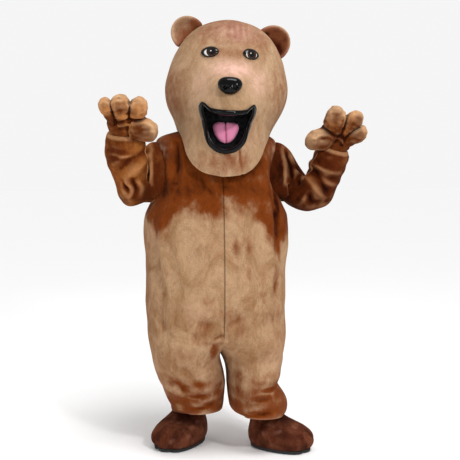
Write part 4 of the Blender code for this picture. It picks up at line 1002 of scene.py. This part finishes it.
def head_shade(places, front):
    """Painted shade at the sides, most of all the left, a russet crown with a few strokes, and the dark
    patches:
    a stain beside the jaw, darker on the chin, and painted shade round the eyes.
    """
    across, rise = head_terms(places)
    left_side = smoothstep(0.11, 0.215, -across) * smoothstep(0.20, 0.02, rise)
    left_side *= smoothstep(-0.16, -0.02, rise) * smoothstep(0.08, -0.06, places[:, 1]) * 0.55
    right_side = smoothstep(0.13, 0.235, across) * 0.40 * front
    crown = smoothstep(0.165, 0.235, rise) * smoothstep(0.22, 0.10, np.abs(across)) * 0.52
    strokes = np.sin((across + waves(places, 0.05, 43.0) * 0.006) * 130) ** 2
    strokes *= smoothstep(0.055, 0.015, np.abs(across - 0.025))
    strokes *= smoothstep(0.225, 0.26, rise) * smoothstep(0.325, 0.285, rise) * 0.42
    stains_and_shade = soft_patches(across, rise, HEAD_STAINS_AND_SHADE)
    return np.maximum.reduce([left_side, right_side, stains_and_shade, (crown + strokes) * front])


def head_half(side):
    node = f"head_{SIDE_NAMES[side]}"
    item, places = refined(node, f"{node}_plush", HEAD_PLUSH, rims=1.0)
    ways = places - np.array(HEAD_CENTRE)
    ways = ways / np.linalg.norm(ways, axis=1)[:, None]
    depth = crease_depth(places, ways, HEAD_CREASES)
    moved = grin(places) - ways * (depth - waves(places, 0.07, 31.0) * 0.0018)[:, None]
    place_points(item, moved)
    front = smoothstep(0.06, -0.10, places[:, 1])
    fold, _ = relief(item, moved)
    # Painted shade on the back of the head and in the folds, over random blotches.
    blotch = np.maximum(0.0, waves(places, 0.08, 14.0)) * 0.28 + waves(places, 0.03, 19.0) * 0.12
    behind = (1 - front) * 0.12
    paint(item, "deep", np.clip(head_shade(places, front) + behind + blotch + 0.78 * fold, 0.0, 1.5))
    # Painted pinkish highlights on the bridge, the brow and both cheeks.
    rosy = soft_patches(*head_terms(places), HEAD_HIGHLIGHTS) * front
    paint(item, "pale", np.clip(rosy * (0.85 + 0.5 * waves(places, 0.03, 23.0)), 0.0, 0.95))
    dress(item, node)


def ear(side):
    node = f"ear_{SIDE_NAMES[side]}"
    item, places = refined(node, f"{node}_plush", HEAD_PLUSH)
    low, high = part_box(node)
    middle = np.array((low + high) / 2)
    spoke = places - middle
    reach = np.hypot(spoke[:, 0], spoke[:, 2]) / EAR_RADIUS
    inner = smoothstep(0.98, 0.60, reach) * smoothstep(0.006, -0.008, spoke[:, 1])
    toward_head = smoothstep(0.045, -0.045, spoke[:, 0] * side + spoke[:, 2] * 0.8)
    grow, shift, cup, root = EARS[side]
    spoke[:, 1] += smoothstep(0.86, 0.35, reach) * smoothstep(0.008, -0.008, spoke[:, 1]) * EAR_CUP
    place_points(item, middle + spoke * grow + shift)
    # Painted shade in the cup, which is also darker plush, and at the root where the ear meets the head.
    mottle = 1.0 + 0.5 * waves(places, 0.025, 37.0)
    paint(item, "deep", np.clip(0.15 + (inner * cup + toward_head * root) * mottle, 0.0, 2.0))
    paint(item, "pale", np.clip((1 - inner) * (1 - toward_head) * 0.15 * mottle, 0.0, 0.5))
    dress(item, node)


def lips():
    item, places = refined("mouth_lining", "lips_vinyl", VINYL)
    place_points(item, grin(places))
    dress(item, "mouth_lining")


def sight_net():
    item, _ = refined("vision_mesh", "sight_net", NET, levels=2, rims=1.0, least_angle=60)
    dress(item, "vision_mesh")


def tongue():
    item, places = refined("tongue", "tongue_pad", FLEECE)
    low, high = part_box("tongue")
    middle = (low + high) / 2
    x = places[:, 0] - middle.x
    height = (places[:, 2] - middle.z) / ((high.z - low.z) / 2)
    groove = np.exp(-(((x + 0.001) / 0.0030) ** 2))
    places[:, 0] += x * (0.16 * height - 0.04)
    places[:, 1] += groove * 0.0040
    places[:, 2] -= groove * smoothstep(0.5, 1.0, height) * 0.006
    place_points(item, places)
    # Painted shade in the groove, at the sides and towards the top.
    shade = smoothstep(0.030, 0.048, np.abs(x)) * 0.35 + smoothstep(0.2, 1.0, height) * 0.15
    paint(item, "deep", np.clip(groove * 0.85 + shade, 0.0, 1.0))
    dress(item, "tongue")


def nose():
    item, places = refined("nose", "nose_vinyl", VINYL)
    low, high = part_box("nose")
    middle = (low + high) / 2
    for side in (LEFT, RIGHT):
        x = places[:, 0] - (middle.x + side * 0.021)
        z = places[:, 2] - (middle.z - 0.010 - side * 0.001)
        dent = np.exp(-((x / 0.010) ** 2) - ((z + 0.35 * side * x) / 0.007) ** 2)
        places[:, 1] += dent * 0.012 * smoothstep(0.0, -0.02, places[:, 1] - middle.y)
    split = np.exp(-(((places[:, 0] - middle.x) / 0.003) ** 2))
    places[:, 1] += split * smoothstep(0.0, -0.02, places[:, 2] - middle.z) * 0.003
    place_points(item, places)
    dress(item, "nose")


def eye(side):
    node = f"eye_{SIDE_NAMES[side]}"
    item, places = refined(node, f"{node}_acrylic", EYE)
    low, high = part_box(node)
    middle = np.array((low + high) / 2)
    half_wide = (high.x - low.x) / 2
    half_tall = (high.z - low.z) / 2
    x = places[:, 0] - middle[0]
    z = places[:, 2] - middle[2]
    look, wide, shift = EYES[side]
    paint(item, "from_iris", np.hypot(x - look, z + 0.001) / IRIS_REACH)
    # A painted highlight, standing for a lamp's reflection, beside the pupil.
    paint(item, "glint", smoothstep(0.0030, 0.0014, np.hypot(x - look + 0.0035, z - 0.0030)) * 0.85)
    paint(item, "to_rim", np.sqrt((x / half_wide) ** 2 + ((z + 0.0035) / half_tall) ** 2) + 0.05)
    places[:, 0] = middle[0] + shift + x * wide
    place_points(item, places)
    dress(item, node)


# Floor, light and camera

def studio():
    bpy.ops.object.select_all(action="DESELECT")
    bpy.ops.mesh.primitive_plane_add(size=60.0, location=(0.0, 0.0, FLOOR - 0.0005))
    floor = bpy.context.object
    floor.name = "studio_floor"
    material, tree, _ = new_material("pale_floor")
    finish_material(tree, {"Base Color": colour("#FBFBFB"), "Roughness": 0.9}, {})
    floor.data.materials.append(material)
    world = bpy.data.worlds.new("soft_studio")
    world.use_nodes = True
    bpy.context.scene.world = world
    tree = world.node_tree
    seen = add_node(tree, "LightPath").outputs["Is Camera Ray"]
    strength = add_node(tree, "MapRange", {"To Min": 0.55, "To Max": 0.915}, {"Value": seen})
    background = tree.nodes["Background"]
    background.inputs["Color"].default_value = colour("#FFFFFF")
    tree.links.new(strength.outputs["Result"], background.inputs["Strength"])
    for name, place, aim, size, power in (
        ("key", (1.5, -3.3, 1.9), (0.0, 0.0, -0.2), 0.55, 62.0),
        ("fill", (-2.6, -2.4, 0.4), (0.0, 0.0, -0.4), 1.6, 14.0),
        ("back", (-0.8, 2.8, 2.0), (0.0, 0.0, 0.0), 1.2, 16.0),
    ):
        lamp = bpy.data.lights.new(name, "AREA")
        lamp.shape = "DISK"
        lamp.size = size
        lamp.energy = power
        aim_lamp(lamp, place, aim)
    ceiling = bpy.data.lights.new("ceiling", "SUN")
    ceiling.energy = 1.45
    ceiling.angle = math.radians(25)
    aim_lamp(ceiling, (0.7, -1.4, 4.0), (0.0, 0.0, 0.0))


def aim_lamp(lamp, place, aim):
    item = bpy.data.objects.new(lamp.name, lamp)
    item.location = place
    item.rotation_euler = (Vector(aim) - Vector(place)).to_track_quat("-Z", "Y").to_euler()
    bpy.context.scene.collection.objects.link(item)


def camera():
    down = 3.17
    turned = 8.42
    lens = bpy.data.cameras.new("camera")
    lens.lens = 68.08
    lens.sensor_width = 36.0
    lens.shift_y = -0.05
    item = bpy.data.objects.new("camera", lens)
    item.location = (-0.4725, -3.6052, -0.0890)
    item.rotation_euler = (math.radians(90 - down), 0.0, math.radians(-turned))
    bpy.context.scene.collection.objects.link(item)
    bpy.context.scene.camera = item


for side in (LEFT, RIGHT):
    suit_panel("front", side)
    suit_panel("back", side)
    sleeve(side)
    glove(side)
    boot(side)
    sole(side)
    head_half(side)
    ear(side)
    eye(side)
lips()
sight_net()
tongue()
nose()
studio()
camera()
